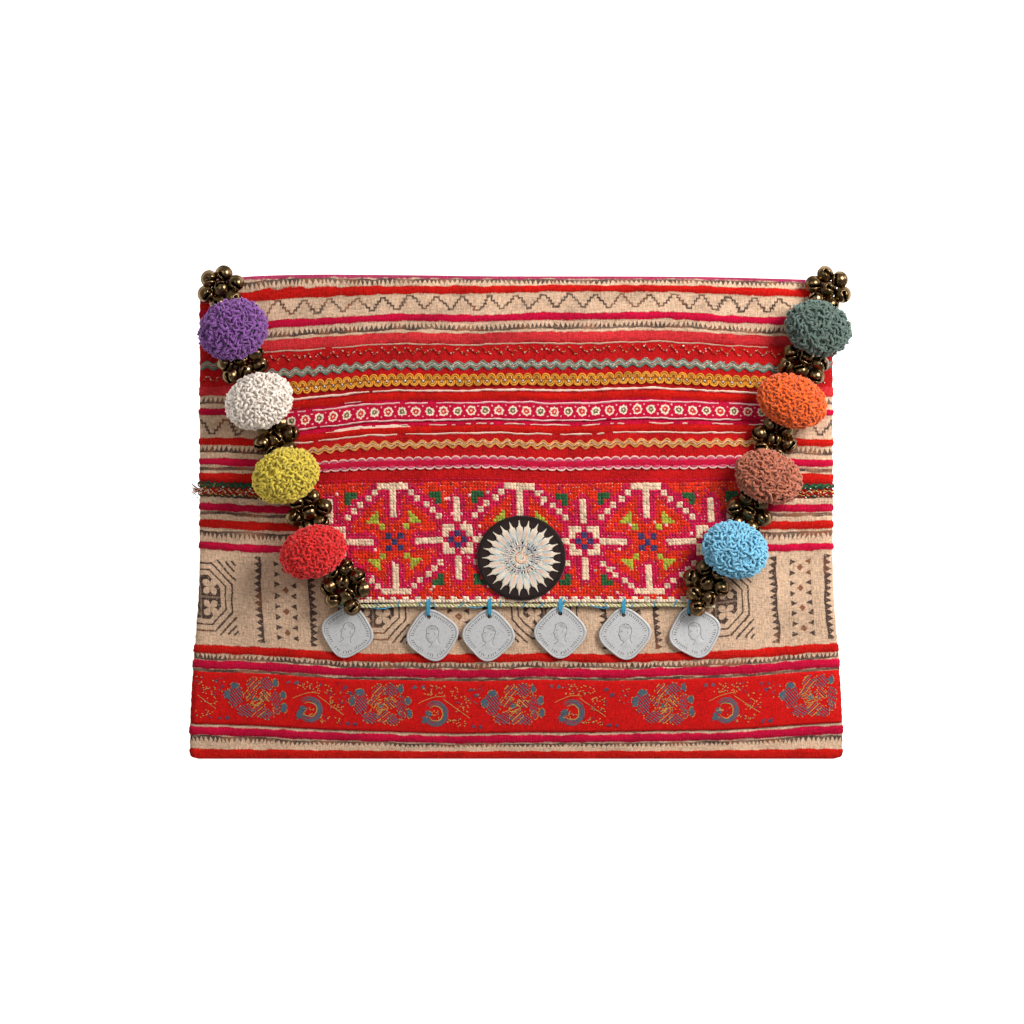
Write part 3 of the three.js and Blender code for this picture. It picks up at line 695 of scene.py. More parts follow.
def yarnTree():
    tree, start, end = newTree("yarn loops on a head", [
        ("Loop", "Object"), ("Spacing", "Float"), ("Density", "Float"), ("Seed", "Int"), ("Lean", "Float"),
        ("Material", "Material")])
    loop = addNode(tree, "GeometryNodeObjectInfo", [("Object", start.outputs["Loop"])])
    spots = addNode(tree, "GeometryNodeDistributePointsOnFaces", [
        ("Mesh", start.outputs["Geometry"]), ("Distance Min", start.outputs["Spacing"]),
        ("Density Max", start.outputs["Density"]), ("Density Factor", namedField(tree, "yarned", "FLOAT")),
        ("Seed", start.outputs["Seed"])], distribute_method="POISSON")
    stand = addNode(tree, "FunctionNodeAlignRotationToVector", [
        ("Vector", spots.outputs["Normal"])], axis="Z")
    back = addNode(tree, "ShaderNodeMath", [(0, start.outputs["Lean"]), (1, -1.0)], operation="MULTIPLY")
    leanLow = addNode(tree, "ShaderNodeCombineXYZ", [(0, back.outputs[0]), (1, back.outputs[0]), (2, 0.0)])
    leanHigh = addNode(tree, "ShaderNodeCombineXYZ", [
        (0, start.outputs["Lean"]), (1, start.outputs["Lean"]), (2, 6.283)])
    twist = addNode(tree, "FunctionNodeRandomValue", [
        (0, leanLow.outputs[0]), (1, leanHigh.outputs[0]), ("Seed", start.outputs["Seed"])],
        data_type="FLOAT_VECTOR")
    turn = addNode(tree, "FunctionNodeEulerToRotation", [("Euler", twist.outputs[0])])
    both = addNode(tree, "FunctionNodeRotateRotation", [
        ("Rotation", stand.outputs[0]), ("Rotate By", turn.outputs[0])], rotation_space="LOCAL")
    size = addNode(tree, "FunctionNodeRandomValue", [(2, 0.8), (3, 1.2), ("Seed", 5)], data_type="FLOAT")
    spread = addNode(tree, "GeometryNodeInstanceOnPoints", [
        ("Points", spots.outputs["Points"]), ("Instance", loop.outputs["Geometry"]),
        ("Rotation", both.outputs[0]), ("Scale", size.outputs[1])])
    whole = addNode(tree, "GeometryNodeRealizeInstances", [("Geometry", spread.outputs[0])])
    join = addNode(tree, "GeometryNodeJoinGeometry")
    tree.links.new(whole.outputs[0], join.inputs[0])
    tree.links.new(start.outputs["Geometry"], join.inputs[0])
    dressed = addNode(tree, "GeometryNodeSetMaterial", [
        ("Geometry", join.outputs[0]), ("Material", start.outputs["Material"])])
    tree.links.new(dressed.outputs[0], end.inputs[0])
    return tree


trees = {"thread": threadTree(), "setOut": setOutTree(), "yarn": yarnTree()}


def grow(base, tree, name, **values):
    change = base.modifiers.new("grow", "NODES")
    change.node_group = tree
    for item in tree.interface.items_tree:
        if item.in_out == "INPUT" and item.name in values:
            change[item.identifier] = values[item.name]
    mesh = settled(base)
    mesh.name = name
    bpy.data.objects.remove(base)
    return addObject(name, mesh)


# Threads: each strand is its points in millimetres, its colour and its girth
def threads(name, strands, width, thick, sides=6, material="thread"):
    points, edges, colours, girths = [], [], [], []
    count = 0
    for path, colour, girth in strands:
        path = np.asarray(path, float)
        points.append(path)
        edges += [(count + i, count + i + 1) for i in range(len(path) - 1)]
        colours.append(np.broadcast_to(np.asarray(colour, float), (len(path), 4)))
        girths.append(np.broadcast_to(np.asarray(girth, float), (len(path),)))
        count += len(path)
    mesh = bpy.data.meshes.new(name)
    mesh.from_pydata(metres(np.concatenate(points)).tolist(), edges, [])
    setAttribute(mesh, "dye", "FLOAT_COLOR", "POINT", np.concatenate(colours))
    setAttribute(mesh, "girth", "FLOAT", "POINT", np.concatenate(girths))
    return grow(addObject(name, mesh), trees["thread"], name, Width=width * 0.001, Thickness=thick * 0.001,
                Sides=sides, Material=look[material])


# Shapes set out on points: places in millimetres, turns, sizes and colours
def setOut(name, shape, places, turns, sizes, colours, material):
    mesh = bpy.data.meshes.new(name)
    mesh.from_pydata(metres(places).tolist(), [], [])
    setAttribute(mesh, "turn", "FLOAT_VECTOR", "POINT", turns)
    sizes = np.broadcast_to(np.asarray(sizes, float), (len(places), 3))
    setAttribute(mesh, "size", "FLOAT_VECTOR", "POINT", sizes)
    setAttribute(mesh, "dye", "FLOAT_COLOR", "POINT", colours)
    return grow(addObject(name, mesh), trees["setOut"], name, Shape=shape, Material=look[material])


# A shape from points in millimetres, for the trees to repeat or to stand by itself
def patternShape(name, points, faces):
    mesh = bpy.data.meshes.new(name)
    mesh.from_pydata((np.asarray(points, float) * 0.001).tolist(), [], faces)
    outward(mesh)
    smoothed(mesh)
    return addObject(name, mesh)


def tubeShape(path, radius, sides):
    path = np.asarray(path, float)
    ways = np.gradient(path, axis=0)
    ways /= np.linalg.norm(ways, axis=1, keepdims=True)
    side = np.cross(ways, (0, 0, 1.0)) + 1e-9
    side /= np.linalg.norm(side, axis=1, keepdims=True)
    rise = np.cross(side, ways)
    points, faces = [], []
    radius = np.broadcast_to(radius, (len(path),))
    for k in range(len(path)):
        for j in range(sides):
            a = 2 * math.pi * j / sides
            points.append(path[k] + radius[k] * (math.cos(a) * side[k] + math.sin(a) * rise[k]))
    for k in range(len(path) - 1):
        for j in range(sides):
            n = (j + 1) % sides
            faces.append((k * sides + j, k * sides + n, (k + 1) * sides + n, (k + 1) * sides + j))
    faces.append(tuple(range(sides)))
    faces.append(tuple(range((len(path) - 1) * sides, len(path) * sides)))
    return points, faces


def keep(piece, *nodes, slot=None):
    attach(piece, "root")
    if nodes:
        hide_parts(*nodes)
    return piece


# Cloth in rows: upper edge, dye, how far the row stands up, and a printed figure with its own span
frontRows = [
    (4.8, "red", 0.9), (11.5, "hemp", 0, hangingTeeth, 8.0, 11.0), (15.4, "magenta", 0.9),
    (16.6, "hemp", 0), (40.4, "ground", 0), (41.8, "hemp", 0, inkLine, 40.2, 41.6),
    (45.8, "magenta", 0.9), (48.8, "hemp", 0, upTeeth, 45.9, 48.7), (52.8, "red", 0.9),
    (96.1, "hemp", 0, "batik"), (99.5, "magenta", 0.9), (106.1, "hemp", 0, hangingTeeth, 101.5, 104.9),
    (109.9, "red", 0.9), (114.0, "hemp", 0, inkLine, 111.8, 113.6), (117.4, "magenta", 0.9),
    (120.4, "hemp", 0), (127.6, "deep", 0), (131.6, "red", 0.9),
    (134.9, "hemp", 0, inkLine, 132.2, 134.4), (138.3, "magenta", 0.9),
    (144.2, "hemp", 0, upTeeth, 140.6, 144.0), (147.7, "red", 0.9),
    (158.2, "hemp", 0, stairRow, 149.6, 156.0), (161.3, "magenta", 0.9),
    (167.2, "hemp", 0, upTeeth, 163.4, 166.4), (171.6, "coral", 0.7),
    (196.0, "ground", 0), (199.0, "magenta", 0.6), (204.0, "red", 0), (207.0, "magenta", 0.6),
    (210.0, "red", 0),
]
flapRows = [
    (73.2, "purple", 0), (126.7, "ground", 0), (150.5, "ground", 0), (153.7, "red", 0.9),
    (155.8, "magenta", 0), (164.8, "magenta", 0), (165.4, "magenta", 0), (169.0, "red", 0.9),
    (172.0, "deep", 0), (191.9, "ground", 0),
    (196.5, "coral", 0.8), (201.7, "hemp", 0, upTeeth, 197.6, 200.6), (205.1, "magenta", 0.9),
    (214.4, "hemp", 0, stairRow, 207.4, 213.2), (217.7, "red", 0.9),
    (220.5, "hemp", 0, hangingTeeth, 218.4, 220.5), (222.0, "piping", 0.3), (223.0, "piping", 0),
]


def rowGrid(table, start, step):
    rows, raises, owner = [start], [0.0], []
    low = start
    for k, (high, _, up, *_) in enumerate(table):
        count = max(2, round((high - low) / step)) if high <= bag["foldHeight"] else 8
        for i in range(1, count + 1):
            share = i / count
            rows.append(low + (high - low) * share)
            raises.append(up * max(0.0, 1 - (2 * share - 1) ** 4) ** 0.5)
            owner.append(k)
        low = high
    return np.array(rows), np.array(raises), np.array(owner)


def rowSheet(name, table, start, surface, step=0.85, columns=150):
    rows, raises, owner = rowGrid(table, start, step)
    s = np.linspace(-1, 1, columns + 1)
    grid, across = np.meshgrid(rows, s, indexing="ij")
    outer = surface(grid, across, raises[:, None])
    inner = surface(grid, across, -bag["wall"])
    mesh = sheetMesh(name, outer, inner, grid)
    total = len(mesh.polygons)
    dye = np.tile(np.array(dyes["hemp"]), (total, 1))
    dyeBelow = dye.copy()
    dyeAbove = dye.copy()
    figure = np.tile(np.array([0.0, 1.0, 0.0]), (total, 1))
    span = np.tile(np.array([-99.0, 999.0, 0.0]), (total, 1))
    slot = np.zeros(total, np.int32)
    of = np.repeat(owner, columns)
    for k, (high, colour, _, *motif) in enumerate(table):
        mine = np.nonzero(of == k)[0]
        dye[mine] = dyes[colour]
        dyeBelow[mine] = dyes[table[max(k - 1, 0)][1]]
        dyeAbove[mine] = dyes[table[min(k + 1, len(table) - 1)][1]]
        span[mine] = (table[k - 1][0] if k else start, high, 0)
        if motif == ["batik"]:
            slot[mine] = 1
        elif motif:
            kind, figureLow, figureHigh = motif
            figure[mine] = (figureLow, figureHigh - figureLow, kind)
    setAttribute(mesh, "dye", "FLOAT_COLOR", "FACE", dye)
    setAttribute(mesh, "dyeBelow", "FLOAT_COLOR", "FACE", dyeBelow)
    setAttribute(mesh, "dyeAbove", "FLOAT_COLOR", "FACE", dyeAbove)
    setAttribute(mesh, "figure", "FLOAT_VECTOR", "FACE", figure)
    setAttribute(mesh, "span", "FLOAT_VECTOR", "FACE", span)
    mesh.materials.append(look["row"])
    mesh.materials.append(look["batik"])
    mesh.polygons.foreach_set("material_index", slot)
    return addObject(name, mesh)


frontCloth = rowSheet("frontCloth", frontRows, 0.0, frontAt)
keep(frontCloth, "front_panel", slot="front_cloth")
flapCloth = rowSheet("flapCloth", flapRows, bag["hemRow"], flapAt)
keep(flapCloth, "flap", slot="flap_cloth")


def backAt(row, s, above=0.0):
    row, s = np.broadcast_arrays(np.asarray(row, float), np.asarray(s, float))
    start = foldAt(s)[1]
    y = row / bag["mouthHeight"] * (start - bag["gap"])
    x = s * bagHalf(y)
    top = edgeRise(s, y) + bag["wall"]
    return np.stack([x, y, np.where(above < 0, 0 * top, top)], -1)


backCloth = rowSheet("backCloth", frontRows, 0.0, backAt, step=2.0, columns=100)
keep(backCloth, "back_panel", slot="back_cloth")
print("cloth laid")


# Ribbons: closed strips laid on the front or the flap
def ribbon(name, surface, low, high, rise, material, columns=150):
    rows = np.linspace(low, high, max(4, round((high - low) / 1.2)))
    grid, across = np.meshgrid(rows, np.linspace(-0.995, 0.995, columns + 1), indexing="ij")
    edge = ((grid - low) / (high - low) * 2 - 1) ** 8
    outer = surface(grid, across, rise - 0.25 * edge)
    inner = surface(grid, across, 0.05)
    mesh = sheetMesh(name, outer, inner, grid)
    mesh.materials.append(look[material])
    return addObject(name, mesh)


brocadeRibbon = ribbon("brocadeRibbon", frontAt, 16.6, 40.4, dress, "brocade")
keep(brocadeRibbon, "brocade_ribbon", slot="brocade")
flowerRibbon = ribbon("flowerRibbon", flapAt, 155.8, 164.7, dress, "flower")
keep(flowerRibbon, "flower_ribbon", slot="flower_band")
picotRibbon = ribbon("picotRibbon", flapAt, 134.3, 138.0, dress, "picot")
keep(picotRibbon, "picot_ribbon", slot="picot")
canvasPanel = ribbon("canvasPanel", flapAt, 73.0, 126.7, 0.7, "canvas")
keep(canvasPanel, "cross_stitch_panel", slot="cross_stitch")


def run(surface, row, low=None, high=None, step=1.2, above=0.3, wave=None):
    reach = flapHalf(row) * 0.994 if surface is onFlap else bagHalf(row) * 0.996
    shift = bag["flapShift"] if surface is onFlap else 0.0
    low = shift - reach if low is None else low
    high = shift + reach if high is None else high
    x = np.arange(low, high, step)
    offset = wave(x) if wave else 0 * x
    return surface(x, row + offset, above)


# A dye made a little lighter or darker by chance
def uneven(colour, low, high):
    return np.array(dyes[colour]) * np.array([*[chance.uniform(low, high)] * 3, 1])


def jitter(count, size, smooth=3):
    raw = chance.normal(0, size, count + 2 * smooth)
    return np.convolve(raw, np.ones(2 * smooth + 1) / math.sqrt(2 * smooth + 1), "valid")[:count]


# Ric-rac braids: strands waving side by side, with a thin pale one raised above them as a painted highlight
ricracs = {
    "greenRicrac": {
        "node": "ricrac_green", "slot": "green_braid", "row": 181.6, "period": 5.75,
        "strands": (  # lift, dye, girth
            (1.35, "greyGreen", 0.65), (0.8, "sage", 0.55), (0.2, "copper", 0.5), (-0.35, "beige", 0.55),
            (-0.9, "greyGreen", 0.7), (0.45, "mint", 0.38), (-1.4, "teal", 0.8)),
    },
    "tanRicrac": {
        "node": "ricrac_tan", "slot": "tan_braid", "row": 145.0, "period": 5.6,
        "strands": (
            (1.2, "tan", 0.85), (0.6, "tan", 0.6), (0.05, "copper", 0.5), (-0.5, "tan", 0.6),
            (-1.1, "tan", 0.85), (0.25, "cream", 0.35)),
    },
}


def waveOf(period, size, phase=0.0, lift=0.0):
    return lambda x: lift + size * np.sin(2 * math.pi * x / period + phase + 0.35 * np.sin(x / 17))


for name, made in ricracs.items():
    strands = []
    for k, (lift, colour, girth) in enumerate(made["strands"]):
        wave = waveOf(made["period"], 0.8, 0.12 * (k % 3 - 1), lift)
        # The sixth strand, pale and raised, is a painted highlight along the braid
        path = run(onFlap, made["row"], step=0.8, above=0.55 + 0.12 * (k % 2) + 0.25 * (k == 5), wave=wave)
        path[:, 1] += jitter(len(path), 0.03)
        speckle = np.tile(np.array(dyes[colour]), (len(path), 1))
        speckle[:, :3] *= np.clip(1 + jitter(len(path), 0.12, 1), 0.6, 1.5)[:, None]
        strands.append((path, speckle, girth))
    keep(threads(name, strands, 0.72, 0.75, 5), made["node"], slot=made["slot"])
greenBraid = ricracs["greenRicrac"]
tanBraid = ricracs["tanRicrac"]


# Gold gimp braid: rows of arcs that open towards each other on an amber tape, with bright silver beads
# between as painted glints
braid = {
    "row": 174.65, "pitch": 4.17, "upper": 0.95, "lower": -0.75,
    "arc": 1.75, "inside": 0.95, "tape": 1.9,
}
tapeLow = braid["row"] - braid["tape"]
tapeHigh = braid["row"] + braid["tape"]
gimpTape = ribbon("gimpTape", flapAt, tapeLow, tapeHigh, 0.45, "gimp")
keep(gimpTape, "braid_gold", slot="gold_braid")
reach = flapHalf(braid["row"]) - 3.5
spotX = np.arange(bag["flapShift"] - reach, bag["flapShift"] + reach, braid["pitch"])
strands = []
for side, rise, shift, above in ((1, braid["upper"], 0.5, 0.7), (-1, braid["lower"], 0.0, 0.95)):
    for x in spotX + shift * braid["pitch"]:
        for size, colour, girth in ((braid["arc"], "gold", 1.1), (braid["inside"], "lightGold", 0.65)):
            a = np.linspace(-0.4, math.pi + 0.4, 8)
            arcRow = braid["row"] + rise + side * size * np.sin(a)
            path = onFlap(x + size * np.cos(a), arcRow, above - 0.15 * np.cos(2 * a))
            strands.append((path, uneven(colour, 0.75, 1.15), girth))
keep(threads("goldGimp", strands, 0.72, 0.6, 4))
beadPoints = [(0, 0, 0.5), (0.62, 0, 0), (0, 0.62, 0), (-0.62, 0, 0), (0, -0.62, 0), (0, 0, -0.5)]
beadFaces = [(0, 1, 2), (0, 2, 3), (0, 3, 4), (0, 4, 1), (5, 2, 1), (5, 3, 2), (5, 4, 3), (5, 1, 4)]
glintShape = patternShape("braidGlint", beadPoints, beadFaces)
# Painted highlights: bright silver beads stand for glints on the braid
spots = onFlap(spotX, braid["row"] - 0.4 + 0 * spotX, 1.15)
glintSizes = chance.uniform(0.7, 1.6, (len(spots), 3))
keep(setOut("braidGlints", glintShape, spots, chance.uniform(0, 1, (len(spots), 3)), glintSizes,
            [dyes["silver"]] * len(spots), "tinsel"))

# Picot edges: small flat scallops of darker pink, painted shade inside the pale rims, along both sides of the
# magenta ribbon
picot = {"pitch": 4.32, "across": 2.05, "out": 1.3}
scallop = [(0, -0.5, 0.2)]
scallopFaces = []
for ring, height in ((0.55, 0.22), (1.0, 0.1), (1.0, -0.3)):
    for k in range(8):
        a = math.pi * (-0.08 + 1.16 * k / 7)
        scallop.append((picot["across"] * ring * math.cos(a), picot["out"] * ring * math.sin(a), height))
for k in range(7):
    scallopFaces.append((0, 1 + k, 2 + k))
    scallopFaces.append((1 + k, 9 + k, 10 + k, 2 + k))
    scallopFaces.append((9 + k, 17 + k, 18 + k, 10 + k))
scallop.append((0, -0.5, -0.3))
scallopFaces += [(25, 18 + k, 17 + k) for k in range(7)]
scallopFaces += [(0, 25, 17, 9, 1), (0, 8, 16, 24, 25)]
scallopShape = patternShape("picotScallop", scallop, scallopFaces)
picotPlaces, picotTurns, strands = [], [], []
for row, turn, side in ((137.6, 0.0, 1), (134.7, math.pi, -1)):
    reach = flapHalf(row) - 2.2
    x = np.arange(bag["flapShift"] - reach, bag["flapShift"] + reach, picot["pitch"])
    picotPlaces.append(onFlap(x, row + 0 * x, 0.6))
    picotTurns += [(0, 0, turn + 0.12 * math.sin(7 * i)) for i in range(len(x))]
    for at in x:
        a = np.linspace(0.1, math.pi - 0.1, 7)
        path = onFlap(at + picot["across"] * np.cos(a), row + side * picot["out"] * np.sin(a), 0.75)
        strands.append((path, uneven("petal", 0.8, 1.08), 0.7 + 0.7 * np.sin(a) ** 2))
picotPlaces = np.concatenate(picotPlaces)
picotSizes = chance.uniform(0.85, 1.1, (len(picotPlaces), 3))
# Painted shade: the scallops' pink is darker than their pale rims
picotColours = np.array([dyes["pink"]] * len(picotPlaces)) * chance.uniform(0.8, 1.2, (len(picotPlaces), 1))
keep(setOut("picotEdges", scallopShape, picotPlaces, picotTurns, picotSizes, picotColours, "thread"))
keep(threads("picotRims", strands, 0.62, 0.4, 4))


# Frayed cream edges of folded cloth between the bands, worn through in places
frayed = [  # row, from, to, colour, girth, share that is worn away
    (191.3, None, None, "hemp", 0.55, 0.04), (170.0, None, None, "frayed", 0.9, 0.0),
    (164.2, None, None, "pinkWhite", 0.65, 0.05), (156.4, None, None, "pinkWhite", 0.65, 0.05),
    (154.2, -60, None, "frayed", 0.5, 0.35), (150.0, None, None, "frayed", 0.7, 0.06),
    (153.0, -88, -48, "frayed", 1.5, 0.0), (153.9, -84, -52, "frayed", 1.3, 0.0),
    (166.0, -104, -60, "pinkWhite", 0.5, 0.5),
]
strands = []
for row, low, high, colour, girth, gone in frayed:
    above = 1.0 if 155 < row < 165 else 0.4
    path = run(onFlap, row, low, high, 0.8, above)
    path[:, 1] += jitter(len(path), 0.1, 2) + jitter(len(path), 0.05, 8)
    worn = jitter(len(path), 1.0, 5)
    kept = worn > np.quantile(worn, gone)
    size = girth * np.clip(1 + jitter(len(path), 0.16, 1), 0.5, 1.5)
    cuts = np.flatnonzero(np.diff(kept.astype(int))) + 1
    for piece in np.split(np.arange(len(path)), cuts):
        if kept[piece[0]] and len(piece) > 2:
            taper = np.sin(np.linspace(0.25, math.pi - 0.25, len(piece))) ** 0.3
            strands.append((path[piece], dyes[colour], size[piece] * taper))
            strands.append((path[piece] - (0, 0.12, 0.14), dyes["petal"], size[piece] * taper * 1.4))
keep(threads("frayedEdges", strands, 0.95, 0.36, 5))

# A thin red zigzag on the flap and the front, with a deep red strand under it that is partly painted shadow,
# and the pink running stitch above the panel
zigzag = {"period": 5.75, "size": 1.2, "flap": 188.3, "front": 175.0}
running = {"row": 128.4, "pitch": 2.9, "long": 1.6}
strands = []
for surface, row in ((onFlap, zigzag["flap"]), (onFront, zigzag["front"])):
    # The deep strand below the red ones is dark red thread and partly painted shadow
    for lift, colour, girth in ((0.7, "red", 0.7), (0.1, "red", 0.9), (-0.5, "deep", 0.7)):
        wave = waveOf(zigzag["period"], zigzag["size"], 0.0, lift)
        strands.append((run(surface, row, step=0.9, above=0.3, wave=wave), dyes[colour], girth))
reach = flapHalf(running["row"])
for x in np.arange(bag["flapShift"] - reach + 2, bag["flapShift"] + reach - 2, running["pitch"]):
    ends = np.linspace(x, x + running["long"], 4)
    path = onFlap(ends, running["row"] + 0 * ends, np.array([0.05, 0.3, 0.3, 0.05]))
    strands.append((path, dyes["rose"], 0.7))
keep(threads("redZigzag", strands, 0.8, 0.55, 5))


# Short bright flecks of metal thread, scattered about a line
def flecks(surface, low, high, row, spread, step, colours, wave, girth=1.0):
    for x in np.arange(low, high, step):
        at = x + chance.uniform(-0.5, 0.5)
        lift = float(wave(np.array([at]))[0]) + chance.normal(0, spread)
        lean = chance.uniform(-0.5, 0.5)
        ends = np.array([at, at + 0.55 * girth])
        path = surface(ends, row + lift + np.array([0, lean]), 0.8)
        colour = dyes[colours[chance.integers(len(colours))]]
        strands.append((path, colour, girth * chance.uniform(0.7, 1.3)))


strands = []
for surface, row, reach in ((onFlap, zigzag["flap"], 124.0), (onFront, zigzag["front"], 143.0)):
    flecks(surface, -reach, reach, row, 0.4, 1.1, ("tan", "oldGold", "beige", "forest", "petal"),
           waveOf(zigzag["period"], zigzag["size"]), 0.8)
    flecks(surface, -reach, reach, row, 0.3, 2.6, ("cream", "pinkWhite", "tan"),
           waveOf(zigzag["period"], zigzag["size"], 0.3), 1.15)
flecks(onFlap, -120, 124, greenBraid["row"], 0.7, 0.9, ("silver", "mint", "cream", "beige"),
       waveOf(greenBraid["period"], 0.8))
flecks(onFlap, -108, 112, tanBraid["row"], 0.6, 1.3, ("cream", "copper", "oldGold"),
       waveOf(tanBraid["period"], 0.8))
sparkles = ("oldGold", "cream", "gold", "silver", "red", "forest")
for low, high in ((-148, -84), (96, 146)):
    flecks(onFront, low, high, 123.2, 1.3, 0.28, sparkles, waveOf(3.1, 0.4))
keep(threads("metalFlecks", strands, 0.5, 0.4, 4, "tinsel"))

# The sparkling trim on the front: dark green over red and gold zigzags
sparkleRows = (  # row, dye, girth
    (126.6, "forest", 1.3), (125.7, "darkGreen", 1.2), (124.9, "forest", 0.9), (124.0, "deep", 1.1),
    (123.2, "oldGold", 0.6), (122.5, "deep", 1.1), (121.7, "oldGold", 0.6), (121.0, "forest", 0.8))
strands = []
for k, (row, colour, girth) in enumerate(sparkleRows):
    wave = waveOf(3.1, 0.5, 1.3 * k)
    path = run(onFront, row, -146, 146, 0.75, 0.35 + 0.12 * (k % 3), wave)
    path[:, 1] += jitter(len(path), 0.16)
    strands.append((path, dyes[colour], np.clip(girth * (1 + jitter(len(path), 0.2)), 0.4, 1.8)))
for k in range(9):
    end = [-148.6 - k % 3 * 0.4, 121.3 + 0.6 * k, 0.9 - 0.1 * k]
    tuft = np.array([[-143.0, 123.5, 0.5], [-147.2, 123.4, 0.6], end])
    path = onFront(tuft[:, 0] + 2.0, tuft[:, 1], tuft[:, 2])
    path[2, 0] -= 1.6
    strands.append((path, dyes[("brown", "deep", "beige", "forest")[k % 4]], 0.5))
keep(threads("sparkleTrim", strands, 0.85, 0.65, 5), "sparkle_trim", slot="sparkle")

# Ric-rac along the front, and a bit of gold braid where the flap leaves it in sight
strands = []
# The pale strand among these is a painted highlight along the braid
for lift, colour, girth in greenBraid["strands"]:
    path = run(onFront, 181.4, step=0.8, above=0.4, wave=waveOf(greenBraid["period"], 0.8, 0, lift))
    strands.append((path, dyes[colour], girth))
for lift in (-0.8, 0.8):
    path = run(onFront, 186.6, 118, 145, 0.5, 0.5, waveOf(braid["pitch"], 0.9, lift * 2, lift))
    strands.append((path, dyes["gold"], 1.3))
keep(threads("frontRicrac", strands, 0.72, 0.7, 5))
print("braids and trims laid")


# Cross stitches: a charted quarter of the repeat, mirrored about the star and about the small motif
stitch = {
    "cell": 1.381, "above": 1.4, "below": 1.27, "star": 2.2, "middleRow": 100.2, "shear": -0.035,
    "rows": 19, "repeat": 42,
}
chart = {}


def block(colour, columns, rows):
    for i in columns:
        for j in rows:
            chart[i, j] = colour


block("flax", range(0, 5), (17, 18))
block("flax", (0,), range(8, 17))
block("flax", range(7, 16), (0,))
for i, j in ((5, 15), (7, 13), (10, 11), (12, 9), (14, 7)):
    block("flaxDot", (i, i + 1), (j, j + 1))
block("indigo", (0,), (0,))
block("indigo", (1, 2), (1, 2))
block("lime", (3, 4), (4, 5))
block("lime", (5, 6), (6, 7))
for cell in ((5, 8), (6, 8), (5, 9), (7, 6), (8, 6), (7, 7)):
    chart[cell] = "lime"
block("darkGreen", range(12, 16), (14, 15))
block("darkGreen", (14, 15), (12, 13))
block("flax", (16, 17), range(1, 5))
block("flax", (18, 19), (3, 4))
block("flax", (20,), range(6, 14))
block("indigo", (20,), (1, 2))
block("indigo", (18, 19), (0,))
paleCells = np.array([cell for cell, colour in chart.items() if colour.startswith("flax")])


def stitchColour(i, j):
    if (i, j) in chart:
        return chart[i, j]
    near = np.hypot(*(paleCells - (i, j)).T).min()
    return "rose" if near < 2.1 else "orange"


stitchSize = {"flax": 1.2, "flaxDot": 0.98, "lime": 1.1, "darkGreen": 1.1, "indigo": 1.1}
stitchPlaces, stitchTurns, stitchSizes, stitchColours, peeks = [], [], [], [], []
for q in range(-stitch["rows"] - 3, stitch["rows"]):
    row = stitch["middleRow"] + (q + 0.5) * (stitch["above"] if q >= 0 else stitch["below"])
    half = flapHalf(row) - 1.0
    first = math.ceil((bag["flapShift"] - half - stitch["star"]) / stitch["cell"])
    last = math.floor((bag["flapShift"] + half - stitch["star"]) / stitch["cell"])
    for c in range(first, last):
        x = stitch["star"] + (c + 0.5) * stitch["cell"] + stitch["shear"] * (row - stitch["middleRow"])
        column = c if c >= 0 else -1 - c
        column %= stitch["repeat"]
        column = min(column, stitch["repeat"] - 1 - column)
        level = q if q >= 0 else -1 - q
        colour = stitchColour(column, level)
        if q < -stitch["rows"]:
            colour = "orange" if chance.random() < 0.6 else "rose"
        if q == -stitch["rows"] - 3:
            colour = "cream"
        if q == -stitch["rows"] - 2 and c % 4 in (0, 1):
            colour = "cream"
        if colour in ("rose", "orange"):
            roll = chance.random()
            strays = ((0.008, "petal"), (0.06, "coral"), (0.14, "rose"), (1.0, colour))
            colour = next(stray for share, stray in strays if roll < share)
            if chance.random() < 0.2:
                peeks.append(onFlap(x + stitch["cell"] / 2, row + 0.65, 0.95))
        wobble = chance.normal(0, 0.11, 2)
        stitchPlaces.append(onFlap(x + wobble[0], row + wobble[1], 0.72))
        stitchTurns.append((0, 0, chance.normal(0, 0.16)))
        stitchSizes.append([stitchSize.get(colour, 1.04)] * 3)
        stitchColours.append(uneven(colour, 0.72, 1.18))


def crossShape():
    points, faces = [], []
    for lift, side in ((0.0, 1), (0.13, -1)):
        base = len(points)
        along = np.array([1, side, 0]) / math.sqrt(2)
        across = np.array([-side, 1, 0]) / math.sqrt(2)
        points.append(along * -1.18 + np.array([0, 0, -0.2]))
        for t in (-0.55, 0.55):
            centre = along * t + np.array([0, 0, 0.12 + lift])
            for a in (0, 1, 2, 3):
                turn = math.pi / 2 * a
                lifted = np.array([0, 0, 0.24 * math.sin(turn)])
                points.append(centre + across * 0.54 * math.cos(turn) + lifted)
        points.append(along * 1.18 + np.array([0, 0, -0.2]))
        for a in range(4):
            n = (a + 1) % 4
            faces.append((base, base + 1 + n, base + 1 + a))
            faces.append((base + 1 + a, base + 1 + n, base + 5 + n, base + 5 + a))
            faces.append((base + 9, base + 5 + a, base + 5 + n))
    return points, faces


crossPattern = patternShape("crossStitch", *crossShape())
keep(setOut("crossStitches", crossPattern, np.array(stitchPlaces), stitchTurns, stitchSizes, stitchColours,
            "thread"))
peekSizes = chance.uniform(0.35, 0.65, (len(peeks), 1))
keep(setOut("canvasPeeks", glintShape, np.array(peeks), np.zeros((len(peeks), 3)), peekSizes,
            [dyes["petal"]] * len(peeks), "thread"))
print("cross stitches worked", len(stitchPlaces))


